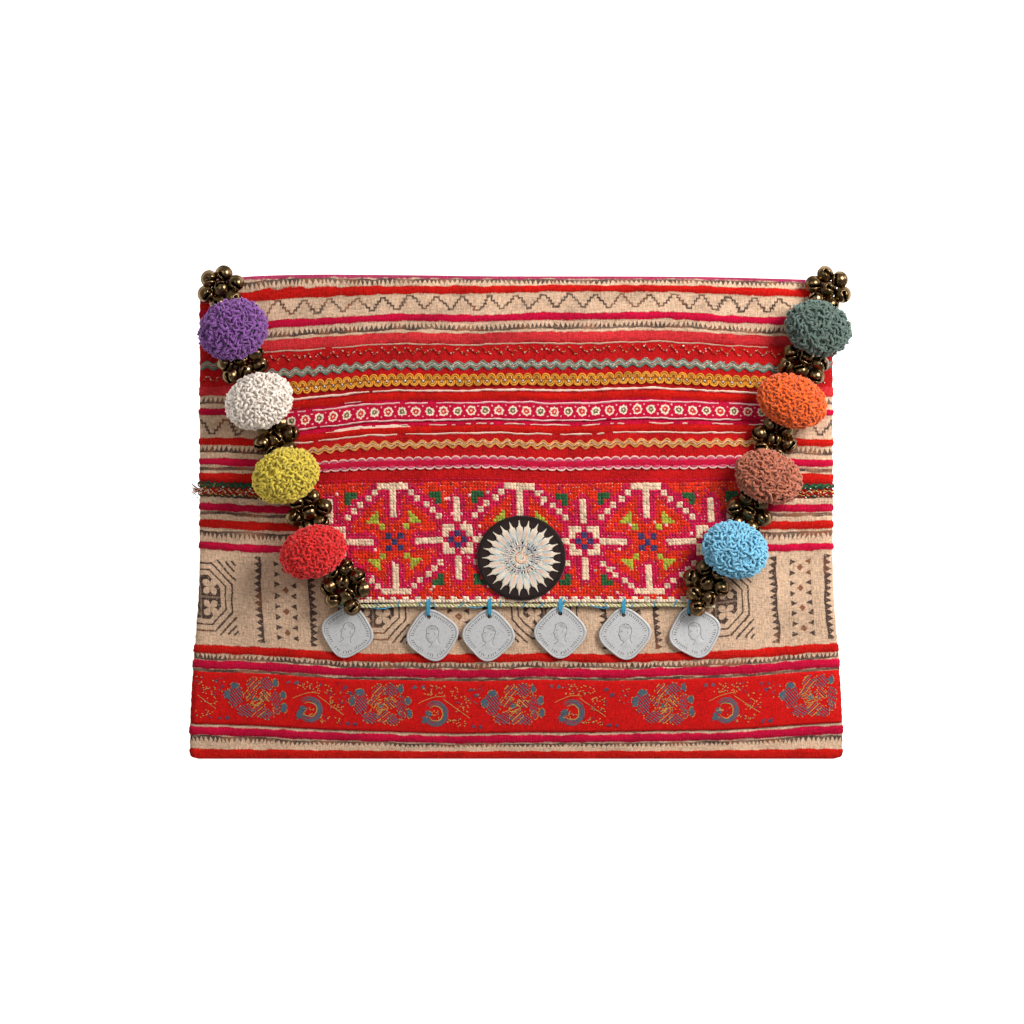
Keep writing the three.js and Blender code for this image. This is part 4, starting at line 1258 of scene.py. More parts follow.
# The brocade ribbon's woven figures: striped flowers, swirls, sprigs and dots
brocade = {
    "flowers": (-178.5, -119.5, -62.0, -1.1, 67.8, 135.8), "swirls": (-154.0, -95.2, -37.4, 25.2, 96.0),
    "row": 28.6, "reach": 147.5, "lowest": 17.3, "highest": 39.7,
}
petals = [  # across, up, half width, half height, slant of its stripes, colours
    (-9.6, 1.4, 3.4, 5.6, -0.9, ("blueGrey", None)), (-13.4, 2.0, 1.4, 2.2, 0.5, ("blueGrey",)),
    (-9.8, 6.2, 1.9, 1.3, 0.6, ("blueGrey",)),
    (-1.2, 7.0, 2.9, 2.8, 0.8, ("blueGrey", None, "oldGold", None)),
    (4.4, 7.2, 3.2, 2.9, -0.8, ("blueGrey", None)), (9.0, 7.8, 1.1, 1.8, 1.2, ("blueGrey",)),
    (9.2, 0.4, 2.2, 4.2, 1.0, ("blueGrey", None)), (12.4, 2.4, 1.2, 1.7, 1.3, ("blueGrey",)),
    (12.9, -3.4, 1.2, 2.1, 1.3, ("blueGrey",)), (9.4, -4.4, 1.5, 1.8, 1.0, ("blueGrey", None)),
    (-4.6, -5.6, 4.2, 2.6, -0.6, ("blueGrey", None)),
    (1.2, -5.2, 3.0, 3.2, 0.7, ("blueGrey", None, "oldGold", None)),
    (5.4, -6.6, 2.8, 2.4, -0.7, ("blueGrey", None)),
    (-3.4, 2.2, 2.8, 2.2, 0.9, ("oldGold", None, "blueGrey", None)),
    (4.2, 1.4, 2.6, 2.4, -0.8, ("oldGold", None, "blueGrey", None)),
    (0.4, -1.6, 2.4, 1.6, 0.4, ("oldGold", None, None)),
]
strands = []


def figure(pathX, pathY, atX, atY, colour, girth, above=1.02):
    x = np.asarray(pathX) + atX
    keepIn = np.abs(x) < brocade["reach"]
    if keepIn.sum() < 2:
        return
    row = np.clip(np.asarray(pathY) + atY, brocade["lowest"], brocade["highest"])
    girth = np.broadcast_to(girth, x.shape)
    strands.append((onFront(x[keepIn], row[keepIn], above), dyes[colour], girth[keepIn]))


def striped(atX, atY, across, up, slant, colours):
    solid = len(colours) == 1
    step, girth = (0.5, 0.9) if solid else (0.52, 0.72)
    way = np.array([math.cos(slant), math.sin(slant)])
    aside = np.array([-way[1], way[0]])
    reach = max(across, up)
    for n, t in enumerate(np.arange(-reach + step / 2, reach, step)):
        a = (way[0] / across) ** 2 + (way[1] / up) ** 2
        b = 2 * t * (aside[0] * way[0] / across ** 2 + aside[1] * way[1] / up ** 2)
        c = t * t * ((aside[0] / across) ** 2 + (aside[1] / up) ** 2) - 1
        inside = b * b - 4 * a * c
        if inside <= 0 or colours[n % len(colours)] is None:
            continue
        root = math.sqrt(inside)
        start = (-b - root) / (2 * a) + chance.normal(0, 0.4)
        end = max((-b + root) / (2 * a) + chance.normal(0, 0.4), start + 0.3)
        cut = start + (end - start) * chance.uniform(0.25, 0.75)
        whole = solid or end - start < 3.2 or chance.random() < 0.4
        for low, high in ((start, end),) if whole else ((start, cut - 0.3), (cut + 0.3, end)):
            u = np.linspace(low, high, 3)
            figure(aside[0] * t + way[0] * u, aside[1] * t + way[1] * u, atX, atY, colours[n % len(colours)],
                   girth * chance.uniform(0.8, 1.15))


def goldFlecks(atX, atY, across, up, count, colours=("oldGold", "oldGold", "tan", "plum")):
    for n in range(round(1.8 * count)):
        x = chance.uniform(-across, across)
        y = chance.uniform(-up, up)
        way = chance.uniform(-0.4, 1.2)
        pathX = [x, x + 0.7 * math.cos(way)]
        pathY = [y, y + 0.7 * math.sin(way)]
        figure(pathX, pathY, atX, atY, colours[n % len(colours)], 0.62, 1.1)


for flower in brocade["flowers"]:
    for across, up, wide, high, slant, colours in petals:
        striped(flower + across, brocade["row"] + up, wide, high, slant, colours)
        a = np.linspace(0, 2 * math.pi, 13)[:-1]
        for k in a[chance.random(12) < 0.6]:
            pathX = wide * 1.08 * math.cos(k) - np.array([0, 0.8 * math.sin(k)])
            pathY = high * 1.08 * math.sin(k) + np.array([0, 0.8 * math.cos(k)])
            figure(pathX, pathY, flower + across, brocade["row"] + up, "oldGold", 0.55)
    goldFlecks(flower, brocade["row"], 5.0, 3.4, 26, ("oldGold", "tan", "gold", "plum"))
    striped(flower - 0.2, brocade["row"] - 0.2, 1.0, 0.9, 0.3, ("blueGrey",))
    goldFlecks(flower - 17.5, brocade["row"] + 5.0, 3.0, 4.4, 9, ("plum", "blueGrey", "oldGold"))
for swirl in brocade["swirls"]:
    for n in range(5):
        a = np.linspace(2.35, -2.6, 20)
        out = 5.5 - 0.6 * n + 0.6 * np.sin(np.linspace(0, math.pi, 20)) + chance.normal(0, 0.12, 20)
        fat = np.sin(np.linspace(0.1, math.pi - 0.15, 20)) ** 0.6 * (0.85 if n else 0.7)
        colour = "oldGold" if n == 4 else "blueGrey"
        figure(out * np.cos(a), out * np.sin(a), swirl, brocade["row"] - 3.0, colour, fat)
    striped(swirl - 2.9, brocade["row"] - 3.0, 1.5, 1.6, 0.4, ("blueGrey",))
    striped(swirl - 4.4, brocade["row"] - 5.8, 1.5, 1.9, 0.9, ("blueGrey",))
    goldFlecks(swirl - 1.0, brocade["row"] - 4.0, 3.2, 2.0, 10)
    t = np.linspace(0, 1, 8)
    figure(-7.5 + 12.5 * t, 2.0 + 3.4 * np.sin(1.9 * t) - 0.6, swirl, brocade["row"], "oldGold", 0.4)
    figure(4.0 + 12.0 * t, 3.6 - 8.5 * t, swirl, brocade["row"], "oldGold", 0.4)
    goldFlecks(swirl + 2.5, brocade["row"] + 7.2, 8.0, 2.4, 26)
    goldFlecks(swirl + 12.5, brocade["row"] + 1.0, 3.6, 4.0, 18)
    goldFlecks(swirl + 9.5, brocade["row"] - 7.2, 4.8, 1.8, 14)
    for across, up in ((-9.0, 8.9), (-5.6, 8.8), (17.6, -8.9), (21.0, -9.0), (16.5, 8.0), (19.0, 5.4)):
        striped(swirl + across, brocade["row"] + up, 0.85, 0.75, 0.4, ("blueGrey" if up > 8.5 else "plum",))
keep(threads("brocadeFigures", strands, 0.62, 0.32, 4))

# Hem of the flap: two twisted strands, whip stitches and the coins' threads
hem = {"pitch": 3.4, "strand": 0.5, "down": 1.3, "under": 0.3, "half": 87.3, "sewnHalf": 84.0}


def hemLine(x):
    path = onFlap(x, bag["hemRow"] + 0 * x, 0.0)
    path[:, 1] -= hem["down"] + 0.25 * np.sin(x / 6.1)
    path[:, 2] -= hem["under"]
    return path


strands = []
x = np.arange(bag["flapShift"] - hem["half"], bag["flapShift"] + hem["half"], 0.35)
for turn, colour in ((0.0, "cream"), (math.pi, "paleGreen")):
    path = hemLine(x)
    path[:, 1] += hem["strand"] * np.cos(2 * math.pi * x / hem["pitch"] + turn)
    path[:, 2] += hem["strand"] * np.sin(2 * math.pi * x / hem["pitch"] + turn)
    strands.append((path, dyes[colour], 1.0))
keep(threads("hemCord", strands, 1.0, 0.9, 5), "hem_cord", slot="cord")
strands = []
at = bag["flapShift"] - hem["sewnHalf"]
while at < bag["flapShift"] + hem["sewnHalf"]:
    lean = chance.uniform(-0.5, 4.5)
    rise = chance.uniform(1.5, 3.4)
    t = np.linspace(0, 1, 7)
    path = hemLine(at + lean * t)
    path[:, 1] += -0.9 + rise * t
    path[:, 2] += 0.5 + 0.5 * np.sin(math.pi * t) + 0.8 * ease(rise * t, 0.9, 2.6)
    strands.append((path, dyes["blue"], 0.9))
    at += chance.uniform(6.0, 13.0)
for low, high in ((-72, -58), (-30, -18), (30, 40)):
    x = np.arange(bag["flapShift"] + low, bag["flapShift"] + high, 1.0)
    path = hemLine(x)
    path[:, 1] += -0.9 + 0.5 * np.sin(x / 2.3)
    path[:, 2] += 0.3 + 0.3 * np.sin(x / 1.7)
    strands.append((path, dyes["blue"], 0.7))


# Coins: a rounded square plate standing on a corner, with a rim, a ring of strokes, a plain head and a hole
coinSize = {
    "half": 10.6, "power": 3.3, "thick": 1.2, "relief": 0.3, "hole": 1.0, "inset": 8.7, "height": 57.1,
    "drillSides": 20,
}
coinSpots = [  # x, turn in degrees, how far it hangs above the common height
    (-77.4, -14, 1.4), (-38.4, 11, 0), (-12.7, -3, 0), (20.2, 0, 1.3), (50.0, 5, 0.7), (82.0, 17, 1.3)]
headProfile = np.array([
    (-4.2, -6.0), (0.0, -6.5), (3.9, -6.0), (2.9, -4.6), (2.1, -3.4), (2.2, -2.0), (2.6, -0.6), (3.1, 1.0),
    (3.0, 2.4), (2.0, 3.9), (0.6, 4.6), (-1.0, 4.3), (-2.1, 3.4), (-2.4, 2.2), (-2.35, 1.5), (-2.8, 0.5),
    (-3.2, -0.3), (-2.7, -0.7), (-2.65, -1.3), (-2.45, -1.7), (-2.5, -2.3), (-2.2, -2.9), (-1.4, -3.1),
    (-1.0, -3.6), (-1.6, -4.6), (-2.8, -5.3)])


def depthInside(points, outline):
    start = outline
    end = np.roll(outline, -1, 0)
    span = end - start
    gap = points[:, None, :] - start[None]
    t = np.clip((gap * span).sum(-1) / (span ** 2).sum(-1), 0, 1)
    distance = np.linalg.norm(gap - t[..., None] * span, axis=-1).min(1)
    crosses = ((start[:, 1] > points[:, None, 1]) != (end[:, 1] > points[:, None, 1]))
    rise = np.where(span[:, 1] == 0, 1e-9, span[:, 1])
    at = start[:, 0] + (points[:, None, 1] - start[:, 1]) / rise * span[:, 0]
    inside = (crosses & (points[:, None, 0] < at)).sum(1) % 2 == 1
    return np.where(inside, distance, -distance)


# From the middle of a coin to its edge
def coinWay(a):
    power = coinSize["power"]
    reach = (np.abs(np.cos(a)) ** power + np.abs(np.sin(a)) ** power) ** (-1 / power)
    return reach[:, None] * np.stack([np.cos(a + math.pi / 4), np.sin(a + math.pi / 4)], -1)


# Dark lines in the coin's face: its rim, a ring of plain strokes, the head, its locks and features
def coinLines():
    def ringAt(share, a):
        return share * coinSize["half"] * coinWay(a)

    paths = [(ringAt(0.9, np.linspace(0, 2 * math.pi, 49)), 0.8), (headProfile[3:26], 0.85)]
    for k in range(52):
        a = np.array([2 * math.pi * k / 52])
        stroke = np.concatenate([ringAt(0.73, a), ringAt(0.83, a + 0.02 * math.sin(3 * k))])
        if depthInside(stroke, headProfile).max() < -0.9 and k % 13 != 6:
            paths.append((stroke, 1.0))
    t = np.linspace(0, 1, 5)
    for k in range(4):
        a = 2.5 - 2.6 * t
        lock = np.stack([0.6 + (2.2 - 0.5 * k) * np.cos(a), 2.0 + (2.3 - 0.5 * k) * np.sin(a)], -1)
        paths.append((lock, 0.6))
    paths.append((np.array([(-2.1, 1.0), (-1.6, 1.15), (-1.1, 0.95)]), 0.8))
    paths.append((np.array([(0.9, 0.9), (1.3, 0.4), (0.9, -0.2)]), 0.7))
    paths.append((np.array([(2.0, -0.6), (1.4, -2.0), (0.3, -2.7)]), 0.5))
    return paths


def coinShape():
    around = 64
    a = 2 * math.pi * np.arange(around) / around
    shares = np.concatenate([np.linspace(0.03, 0.89, 22), [0.905, 0.92, 0.94, 0.97, 0.99, 1.0]])
    flat = shares[:, None, None] * coinWay(a)[None] * coinSize["half"]
    spots = flat.reshape(-1, 2)
    share = np.repeat(shares, around)
    head = depthInside(spots, headProfile)
    raised = 0.5 * ease(head, -0.4, 1.4) + 0.4 * ease(share, 0.9, 0.925)
    top = coinSize["thick"] + coinSize["relief"] * raised
    top[share > 0.98] -= 0.1
    top[-around:] = 0.2
    points = np.concatenate([np.column_stack([spots, top]), [[0, 0, coinSize["thick"] + 0.15], [0, 0, 0]],
                             np.column_stack([0.97 * flat[-1], np.zeros(around)])])
    line = 0.4 * np.exp(-((head + 0.1) / 0.4) ** 2) + 0.35 * np.exp(-((share - 0.905) / 0.02) ** 2)
    worn = np.concatenate([np.clip(line, 0, 1), [0, 0], np.zeros(around)])
    faces = []
    for k in range(len(shares) - 1):
        for j in range(around):
            n = (j + 1) % around
            faces.append((k * around + j, (k + 1) * around + j, (k + 1) * around + n, k * around + n))
    last = (len(shares) - 1) * around
    crown, foot = len(shares) * around, len(shares) * around + 1
    for j in range(around):
        n = (j + 1) % around
        faces.append((crown, j, n))
        faces.append((last + j, foot + 1 + j, foot + 1 + n, last + n))
        faces.append((foot, foot + 1 + n, foot + 1 + j))
    return points, faces, worn


def drillPin():
    sides = coinSize["drillSides"]
    a = 2 * math.pi * np.arange(sides) / sides
    ring = coinSize["hole"] * np.stack([np.cos(a), np.sin(a)], -1) + (0, coinSize["inset"])
    points = np.concatenate([np.column_stack([ring, np.full(sides, z)]) for z in (-3.0, 5.0)])
    faces = [(j, (j + 1) % sides, sides + (j + 1) % sides, sides + j) for j in range(sides)]
    return points, faces + [tuple(range(sides)), tuple(range(sides, 2 * sides))]


coinPoints, coinFaces, coinWorn = coinShape()
coinPaths = coinLines()
pinPoints, pinFaces = drillPin()
engraved = []
for k, (x, degrees, lift) in enumerate(coinSpots):
    angle = math.radians(degrees)
    upright = (-math.sin(angle), math.cos(angle))
    turn, place = seat(frontTop, x, coinSize["height"] + lift, bag["ribRaise"] + bag["gap"], upright)
    for path, girth in coinPaths:
        level = coinSize["thick"] + coinSize["relief"] * 0.5 * ease(depthInside(path, headProfile), -0.4, 1.4)
        engraved.append((np.column_stack([path, level]) @ turn.T + place, dyes["engraved"], girth))
    mesh = bpy.data.meshes.new(f"coin{k + 1}")
    mesh.from_pydata(metres(coinPoints @ turn.T + place).tolist(), [], coinFaces)
    outward(mesh)
    smoothed(mesh)
    setAttribute(mesh, "worn", "FLOAT_VECTOR", "POINT", np.repeat(coinWorn[:, None], 3, 1))
    mesh.materials.append(look["coin"])
    coin = addObject(f"coin{k + 1}", mesh)
    drill = patternShape("coinDrill", pinPoints @ turn.T + place + middle, pinFaces)
    cut = coin.modifiers.new("hole", "BOOLEAN")
    cut.operation = "DIFFERENCE"
    cut.solver = "EXACT"
    cut.object = drill
    drilled = settled(coin)
    coin.modifiers.clear()
    coin.data = drilled
    drilled.set_sharp_from_angle(angle=0.6)
    bpy.data.objects.remove(drill)
    keep(coin, f"coin_{k + 1}", slot="coin")
    hole = turn @ np.array([0, coinSize["inset"] + 0.75, coinSize["thick"] + 0.3]) + place
    beneath = turn @ np.array([0, coinSize["inset"] + 0.5, -0.1]) + place
    over = turn @ np.array([0, coinSize["inset"] + 1.6, coinSize["thick"] + 0.9]) + place
    tie = hemLine(np.array([hole[0]]))[0]
    for side in (-0.55, 0.0, 0.55):
        top = tie + np.array([side, 1.4, 1.4])
        path = np.array([beneath, hole + [side * 0.3, 0.1, 0.1], over + [side * 0.8, 0, 0.2],
                         tie + [side, -0.6, 1.0], top, top + [0, 1.6 + side, -0.3]])
        strands.append((path, dyes["blue"], 1.4))
keep(threads("hemStitches", strands, 0.62, 0.5, 6))
keep(threads("coinLines", engraved, 0.3, 0.16, 4))
print("coins tied on")


# Medallion: a felt patch with a satin edge and a stitched sun
medal = {"x": 2.4, "y": 92.5, "across": 20.4, "up": 19.3, "rays": 25, "tip": 17.6, "sides": 64, "edging": 150}
turn, place = seat(flapTop, medal["x"], medal["y"], dress + bag["gap"], (0, 1))
sides = medal["sides"]
feltTurns = 2 * math.pi * np.arange(sides) / sides
feltRings = [  # share of the patch, height
    (0.2, 1.55), (0.5, 1.6), (0.8, 1.6), (0.93, 1.55), (0.985, 1.3), (1.0, 0.8), (0.985, 0.2), (0.9, 0.0),
    (0.3, 0.0)]
feltPoints = [(0, 0, 1.55)] + [(medal["across"] * r * math.cos(a), medal["up"] * r * math.sin(a), z)
                               for r, z in feltRings for a in feltTurns] + [(0, 0, 0)]
feltFaces = [(0, 1 + j, 1 + (j + 1) % sides) for j in range(sides)]
for k in range(len(feltRings) - 1):
    here = 1 + k * sides
    there = here + sides
    for j in range(sides):
        n = (j + 1) % sides
        feltFaces.append((here + j, there + j, there + n, here + n))
lastRing = 1 + (len(feltRings) - 1) * sides
feltFaces += [(len(feltPoints) - 1, lastRing + (j + 1) % sides, lastRing + j) for j in range(sides)]
feltPatch = patternShape("feltPatch", np.array(feltPoints) @ turn.T + place + middle, feltFaces)
feltPatch.data.materials.append(look["felt"])
keep(feltPatch, "medallion", slot="patch")
strands = []


def sewn(radius, angle, height):
    radius, angle = np.broadcast_arrays(np.asarray(radius, float), np.asarray(angle, float))
    flat = np.stack([radius * np.cos(angle) * 1.02, radius * np.sin(angle) * 0.98, height + 0 * radius], -1)
    return flat @ turn.T + place


for k in range(medal["edging"]):
    a = 2 * math.pi * k / medal["edging"]
    strands.append((sewn([18.0, 18.9, 19.6, 19.75], a, np.array([1.62, 1.85, 1.5, 0.6])), dyes["black"], 1.1))
for k in range(medal["rays"]):
    a = 2 * math.pi * (k + 0.5) / medal["rays"]
    for n in range(-3, 4):
        foot = a + n * 0.035
        tip = a + n * 0.004
        reach = medal["tip"] - 0.75 * abs(n) ** 1.3
        inner = ("peach", "peach", "peach", "sun")[k % 4] if abs(n) < 2 else ("mint", "paleGrey")[n % 2]
        bends = [foot, foot, foot * 0.72 + tip * 0.28, tip]
        path = sewn([8.6, 11.6, 14.2, reach], bends, np.array([1.6, 2.1, 2.2, 1.75]))
        colours = np.array([dyes[inner], dyes[inner], dyes["sun"], dyes["sun"]])
        strands.append((path, colours, np.array([1.1, 1.2, 1.2, 0.6])))
worked = ("mint", "paleGrey", "sun", "paleGrey", "cream", "mint", "sun")
sunRings = ((7.6, 11.0, 84), (5.4, 8.6, 66), (3.0, 6.0, 44), (0.9, 3.4, 26), (0.0, 1.4, 9))
for ring, (low, high, count) in enumerate(sunRings):
    for k in range(count):
        a = 2 * math.pi * (k + 0.5 * (ring % 2)) / count
        reach = np.linspace(low, high - chance.uniform(0, 1.2), 3)
        colour = worked[chance.integers(len(worked))]
        colour = ("peach", "cream")[k % 2] if ring == 3 and chance.random() < 0.7 else colour
        bends = a + chance.normal(0, 0.05) * np.array([0, 0.5, 1])
        path = sewn(reach, bends, np.array([1.7, 2.15, 1.8]))
        strands.append((path, dyes[colour], chance.uniform(0.8, 1.1)))
hoops = ((2.4, "peach", 1.0), (1.3, "cream", 0.9), (6.0, "lilac", 0.8), (7.9, "paleGrey", 0.5))
for radius, colour, girth in hoops:
    a = np.linspace(0, 2 * math.pi, 33)
    strands.append((sewn(radius + 0.12 * np.sin(9 * a), a, 2.1), dyes[colour], girth))
keep(threads("stitchedSun", strands, 0.62, 0.5, 5))
print("medallion sewn")


# Bells: a slit ball with round ends to the slit and a seam round its waist
bell = {"radius": 3.9, "wall": 0.45, "pitch": 7.2, "row": 6.1, "droop": 0.8, "slit": 10.0}
bunches = {  # x, y, bells in each row from the top
    "left_1": (-135.6, 216.2, (2, 3, 2)), "left_2": (-125.4, 181.4, (3, 3)),
    "left_3": (-110.0, 147.3, (2, 3, 2)),
    "left_4": (-95.0, 113.4, (2, 3, 2)), "left_5": (-78.4, 78.6, (2, 3, 3, 1)),
    "right_1": (143.2, 215.8, (2, 3, 2)), "right_2": (131.9, 181.2, (3, 3)),
    "right_3": (118.4, 147.0, (2, 3, 2)),
    "right_4": (106.8, 113.2, (2, 3, 2)), "right_5": (86.2, 78.2, (2, 3, 2, 1)),
}


def bellShape():
    half = [bell["slit"], 25, 45, 66, 83, 87, 93, 97, 116, 140, 166]
    turns = half + [360 - turn for turn in reversed(half)]
    tilts = [12, 24, 34, 40, 46, 54, 66, 78, 90, 102, 114, 126, 134, 140, 146, 156, 168]
    wide = {40: 0.55, 46: 1.9, 54: 1.9, 66: 1.0, 126: 1.9, 134: 1.9, 140: 0.55}
    points, faces = [], []
    inner = bell["radius"] - bell["wall"]
    for shell in (bell["radius"], inner):
        for tilt in tilts:
            for turn in turns:
                swell = 1.045 if turn in (87, 93, 267, 273) and shell == bell["radius"] else 1.0
                angle = turn
                if turn == turns[0]:
                    angle = bell["slit"] * wide.get(tilt, 1.0)
                if turn == turns[-1]:
                    angle = 360 - bell["slit"] * wide.get(tilt, 1.0)
                a, b = math.radians(angle), math.radians(tilt)
                points.append((shell * swell * math.cos(b), shell * swell * math.sin(b) * math.sin(a),
                               shell * swell * math.sin(b) * math.cos(a)))
    wideRow, layer = len(turns), len(tilts) * len(turns)
    poles = [(bell["radius"], 0, 0), (-bell["radius"], 0, 0), (inner, 0, 0), (-inner, 0, 0)]
    slitFrom, slitTo = tilts.index(40), tilts.index(140)
    for shell in (0, 1):
        base = shell * layer
        flip = -1 if shell else 1
        for k in range(len(tilts) - 1):
            here = base + k * wideRow
            there = here + wideRow
            for j in range(wideRow):
                n = (j + 1) % wideRow
                if n == 0 and slitFrom <= k < slitTo:
                    continue
                faces.append((here + j, there + j, there + n, here + n)[::flip])
        for j in range(wideRow):
            n = (j + 1) % wideRow
            last = base + (len(tilts) - 1) * wideRow
            faces.append((2 * layer + 2 * shell, base + j, base + n)[::flip])
            faces.append((2 * layer + 2 * shell + 1, last + n, last + j)[::flip])
    rim = [k * wideRow + wideRow - 1 for k in range(slitFrom, slitTo + 1)]
    rim += [k * wideRow for k in range(slitTo, slitFrom - 1, -1)]
    for k in range(len(rim)):
        a, b = rim[k], rim[(k + 1) % len(rim)]
        faces.append((a, b, layer + b, layer + a))
    return points + poles, faces


bellPattern = patternShape("bellShape", *bellShape())
trimSlope = (bag["flapTopHalf"] - bag["flapHemHalf"]) / (bag["foldHeight"] - bag["hemRow"])


def edgeUp(x):
    size = math.hypot(trimSlope, 1)
    return (math.copysign(trimSlope, x) / size, 1 / size)


def bellHeight(x, y):
    s = np.clip((x - bag["flapShift"]) / bag["flapTopHalf"], -1, 1)
    radius, start = foldAt(s)
    clear = dress + bag["gap"] + bell["radius"]
    if y <= start:
        slope = (flapTop(x + 1, y) - flapTop(x - 1, y)) / 2
        return flapTop(x, y) + clear * math.hypot(1, slope)
    reach = radius + clear
    return radius + math.sqrt(max(reach ** 2 - (y - start) ** 2, (bell["droop"] * reach) ** 2))


for b, (name, (bunchX, bunchY, rows)) in enumerate(bunches.items()):
    up = edgeUp(bunchX)
    places, turns = [], []
    for r, count in enumerate(rows):
        for i in range(count):
            across = bell["pitch"] * (i - (count - 1) / 2)
            along = bell["row"] * ((len(rows) - 1) / 2 - r)
            x = bunchX + across * up[1] + along * up[0]
            y = bunchY - across * up[0] + along * up[1]
            seed = 7 * b + 3 * r + i
            places.append((x, y, float(bellHeight(x, y))))
            turns.append((0.1 + 0.55 * math.sin(5.1 * seed), 0.45 * math.cos(3.7 * seed), 2.4 * seed))
    bunch = setOut("bells_" + name, bellPattern, places, turns, 1.0, [dyes["gold"]] * len(places), "brass")
    keep(bunch, "bells_" + name, slot="bell")
print("bells hung")


# Pompoms: heads of curled yarn loops
pompom = {"up": 10.6, "footAcross": 13.0, "footAlong": 8.4, "footLevel": 0.8, "density": 900000.0}
pompoms = {  # x, y, across, along, colour; then each loop's half width, height, yarn, spacing and lean
    "purple": (-129.0, 197.1, 33.4, 28.0, "#824f92", 1.3, 2.6, 0.5, 1.12, 1.0),
    "white": (-116.9, 164.0, 32.8, 26.2, "#e9dccf", 0.95, 1.8, 0.6, 1.14, 0.8),
    "yellow": (-104.8, 130.0, 32.0, 25.7, "#d1ba42", 1.1, 2.0, 0.54, 1.12, 0.9),
    "red": (-92.3, 95.3, 32.2, 24.4, "#d92725", 0.85, 1.6, 0.5, 1.05, 0.8),
    "teal": (138.0, 197.8, 31.2, 25.7, "#53645b", 1.4, 2.7, 0.54, 1.22, 1.0),
    "orange": (125.3, 164.2, 33.8, 24.8, "#d5591b", 1.0, 1.8, 0.54, 1.1, 0.85),
    "rust": (114.5, 129.5, 32.4, 24.6, "#ac6349", 1.2, 2.3, 0.5, 1.12, 0.95),
    "blue": (99.5, 96.3, 31.2, 26.6, "#76b3cd", 1.3, 2.2, 0.54, 1.18, 0.95),
}
t = np.linspace(-0.4, math.pi + 0.4, 6)
for seed, (name, (x, y, across, along, code, wide, tall, yarn, spacing, lean)) in enumerate(pompoms.items()):
    loopPath = np.stack([wide * np.cos(t), 0.4 * np.sin(2 * t), -0.4 + tall * np.sin(t)], -1)
    loopPoints, loopFaces = tubeShape(loopPath, yarn, 4)
    loopShape = patternShape("yarnLoop", loopPoints, loopFaces)
    # Each loop's height as "tip", for the painted shade that darkens the yarn towards its foot
    setAttribute(loopShape.data, "tip", "FLOAT", "POINT", np.clip(np.array(loopPoints)[:, 2] / tall, 0, 1))
    headAcross = across / 2 - 0.6 * tall - yarn
    headAlong = along / 2 - 0.6 * tall - yarn
    look["yarn_" + name] = yarnCloth("yarn_" + name, code)
    ball = bmesh.new()
    bmesh.ops.create_icosphere(ball, subdivisions=4, radius=1.0)
    turn, place = seat(flapTop, x, y, dress + bag["gap"] + pompom["up"], edgeUp(x))
    yarned = []
    for vertex in ball.verts:
        way = vertex.co.copy()
        yarned.append(float(ease(way.z, -0.75, -0.55)))
        wide = float(ease(way.z, -0.5, 0.02))
        sideways = pompom["footAcross"] + (headAcross - pompom["footAcross"]) * wide
        lengthways = pompom["footAlong"] + (headAlong - pompom["footAlong"]) * wide
        height = max(way.z / pompom["footLevel"], -1.0) if way.z < 0 else way.z
        local = np.array([sideways * way.x, lengthways * way.y, (pompom["up"] - 0.4) * height])
        vertex.co = Vector(metres(turn @ local + place))
    mesh = bpy.data.meshes.new("head_" + name)
    ball.to_mesh(mesh)
    ball.free()
    smoothed(mesh)
    setAttribute(mesh, "yarned", "FLOAT", "POINT", yarned)
    head = addObject("head_" + name, mesh)
    made = grow(head, trees["yarn"], "pompom_" + name, Loop=loopShape, Spacing=spacing * 0.001,
                Density=pompom["density"], Seed=seed + 3, Lean=lean, Material=look["yarn_" + name])
    keep(made, "pompom_" + name, slot="yarn_" + name)
    bpy.data.objects.remove(loopShape)
for shape in (glintShape, scallopShape, crossPattern, bellPattern):
    bpy.data.objects.remove(shape)
print("pompoms wound")

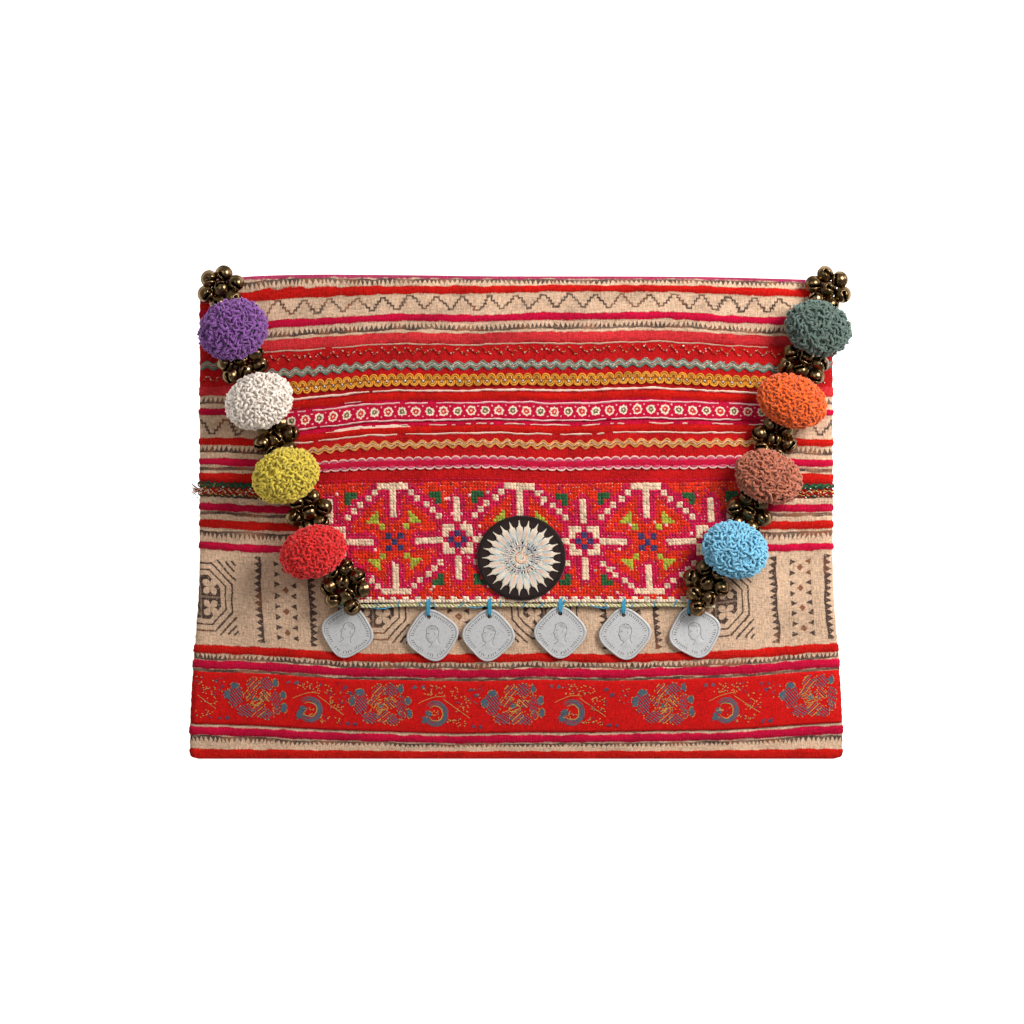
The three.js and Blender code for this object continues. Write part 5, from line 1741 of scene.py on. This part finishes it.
# Stage: a pale floor, soft light and a camera straight above
stage = {"half": 3.0, "level": -0.0002, "glow": 0.95}
shot = {"lens": 400, "sensor": 36, "width": 0.4704, "aside": -0.004, "lift": 0.012}
floorMesh = bpy.data.meshes.new("floor")
corners = [(x * stage["half"], y * stage["half"], stage["level"])
           for x, y in ((-1, -1), (1, -1), (1, 1), (-1, 1))]
floorMesh.from_pydata(corners, [], [(0, 1, 2, 3)])
floor = addObject("floor", floorMesh)
floorLook, floorTree, floorShader = newMaterial("floorPaper", 0.9)
mottle = grain(floorTree, objectPlace(floorTree), (3, 3, 3), 1)
finishMaterial(floorTree, floorShader, shade(floorTree, tint("#f4f4f4"), mottle * 0.02 + 0.99))
floorShader.inputs["Emission Color"].default_value = (1, 1, 1, 1)
floorShader.inputs["Emission Strength"].default_value = stage["glow"]
floorMesh.materials.append(floorLook)
floor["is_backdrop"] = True
world = bpy.data.worlds.new("studio")
scene.world = world
world.use_nodes = True
sky = world.node_tree.nodes["Background"]
sky.inputs["Color"].default_value = (1, 1, 1, 1)
skyHeight = parts(world.node_tree, objectPlace(world.node_tree))[2].put("ADD", 0.0, held=True)
world.node_tree.links.new((0.55 - skyHeight * 0.48).socket, sky.inputs["Strength"])


def softLight(name, place, size, power):
    light = bpy.data.lights.new(name, "AREA")
    light.shape = "DISK"
    light.size = size
    light.energy = power
    lamp = bpy.data.objects.new(name, light)
    scene.collection.objects.link(lamp)
    lamp.location = place
    lamp.rotation_euler = (Vector((0, 0, 0)) - Vector(place)).to_track_quat("-Z", "Y").to_euler()
    lamp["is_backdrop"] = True


softLight("keyLight", (0.5, 0.34, 0.56), 0.4, 7.8)
softLight("fillLight", (-0.4, 0.4, 1.4), 1.0, 4.2)
camera = bpy.data.cameras.new("camera")
camera.lens = shot["lens"]
camera.sensor_width = shot["sensor"]
view = bpy.data.objects.new("camera", camera)
scene.collection.objects.link(view)
view.location = (shot["aside"], 0.0, shot["width"] * shot["lens"] / shot["sensor"] + shot["lift"])
scene.camera = view
scene.view_settings.view_transform = "Standard"

low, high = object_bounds()
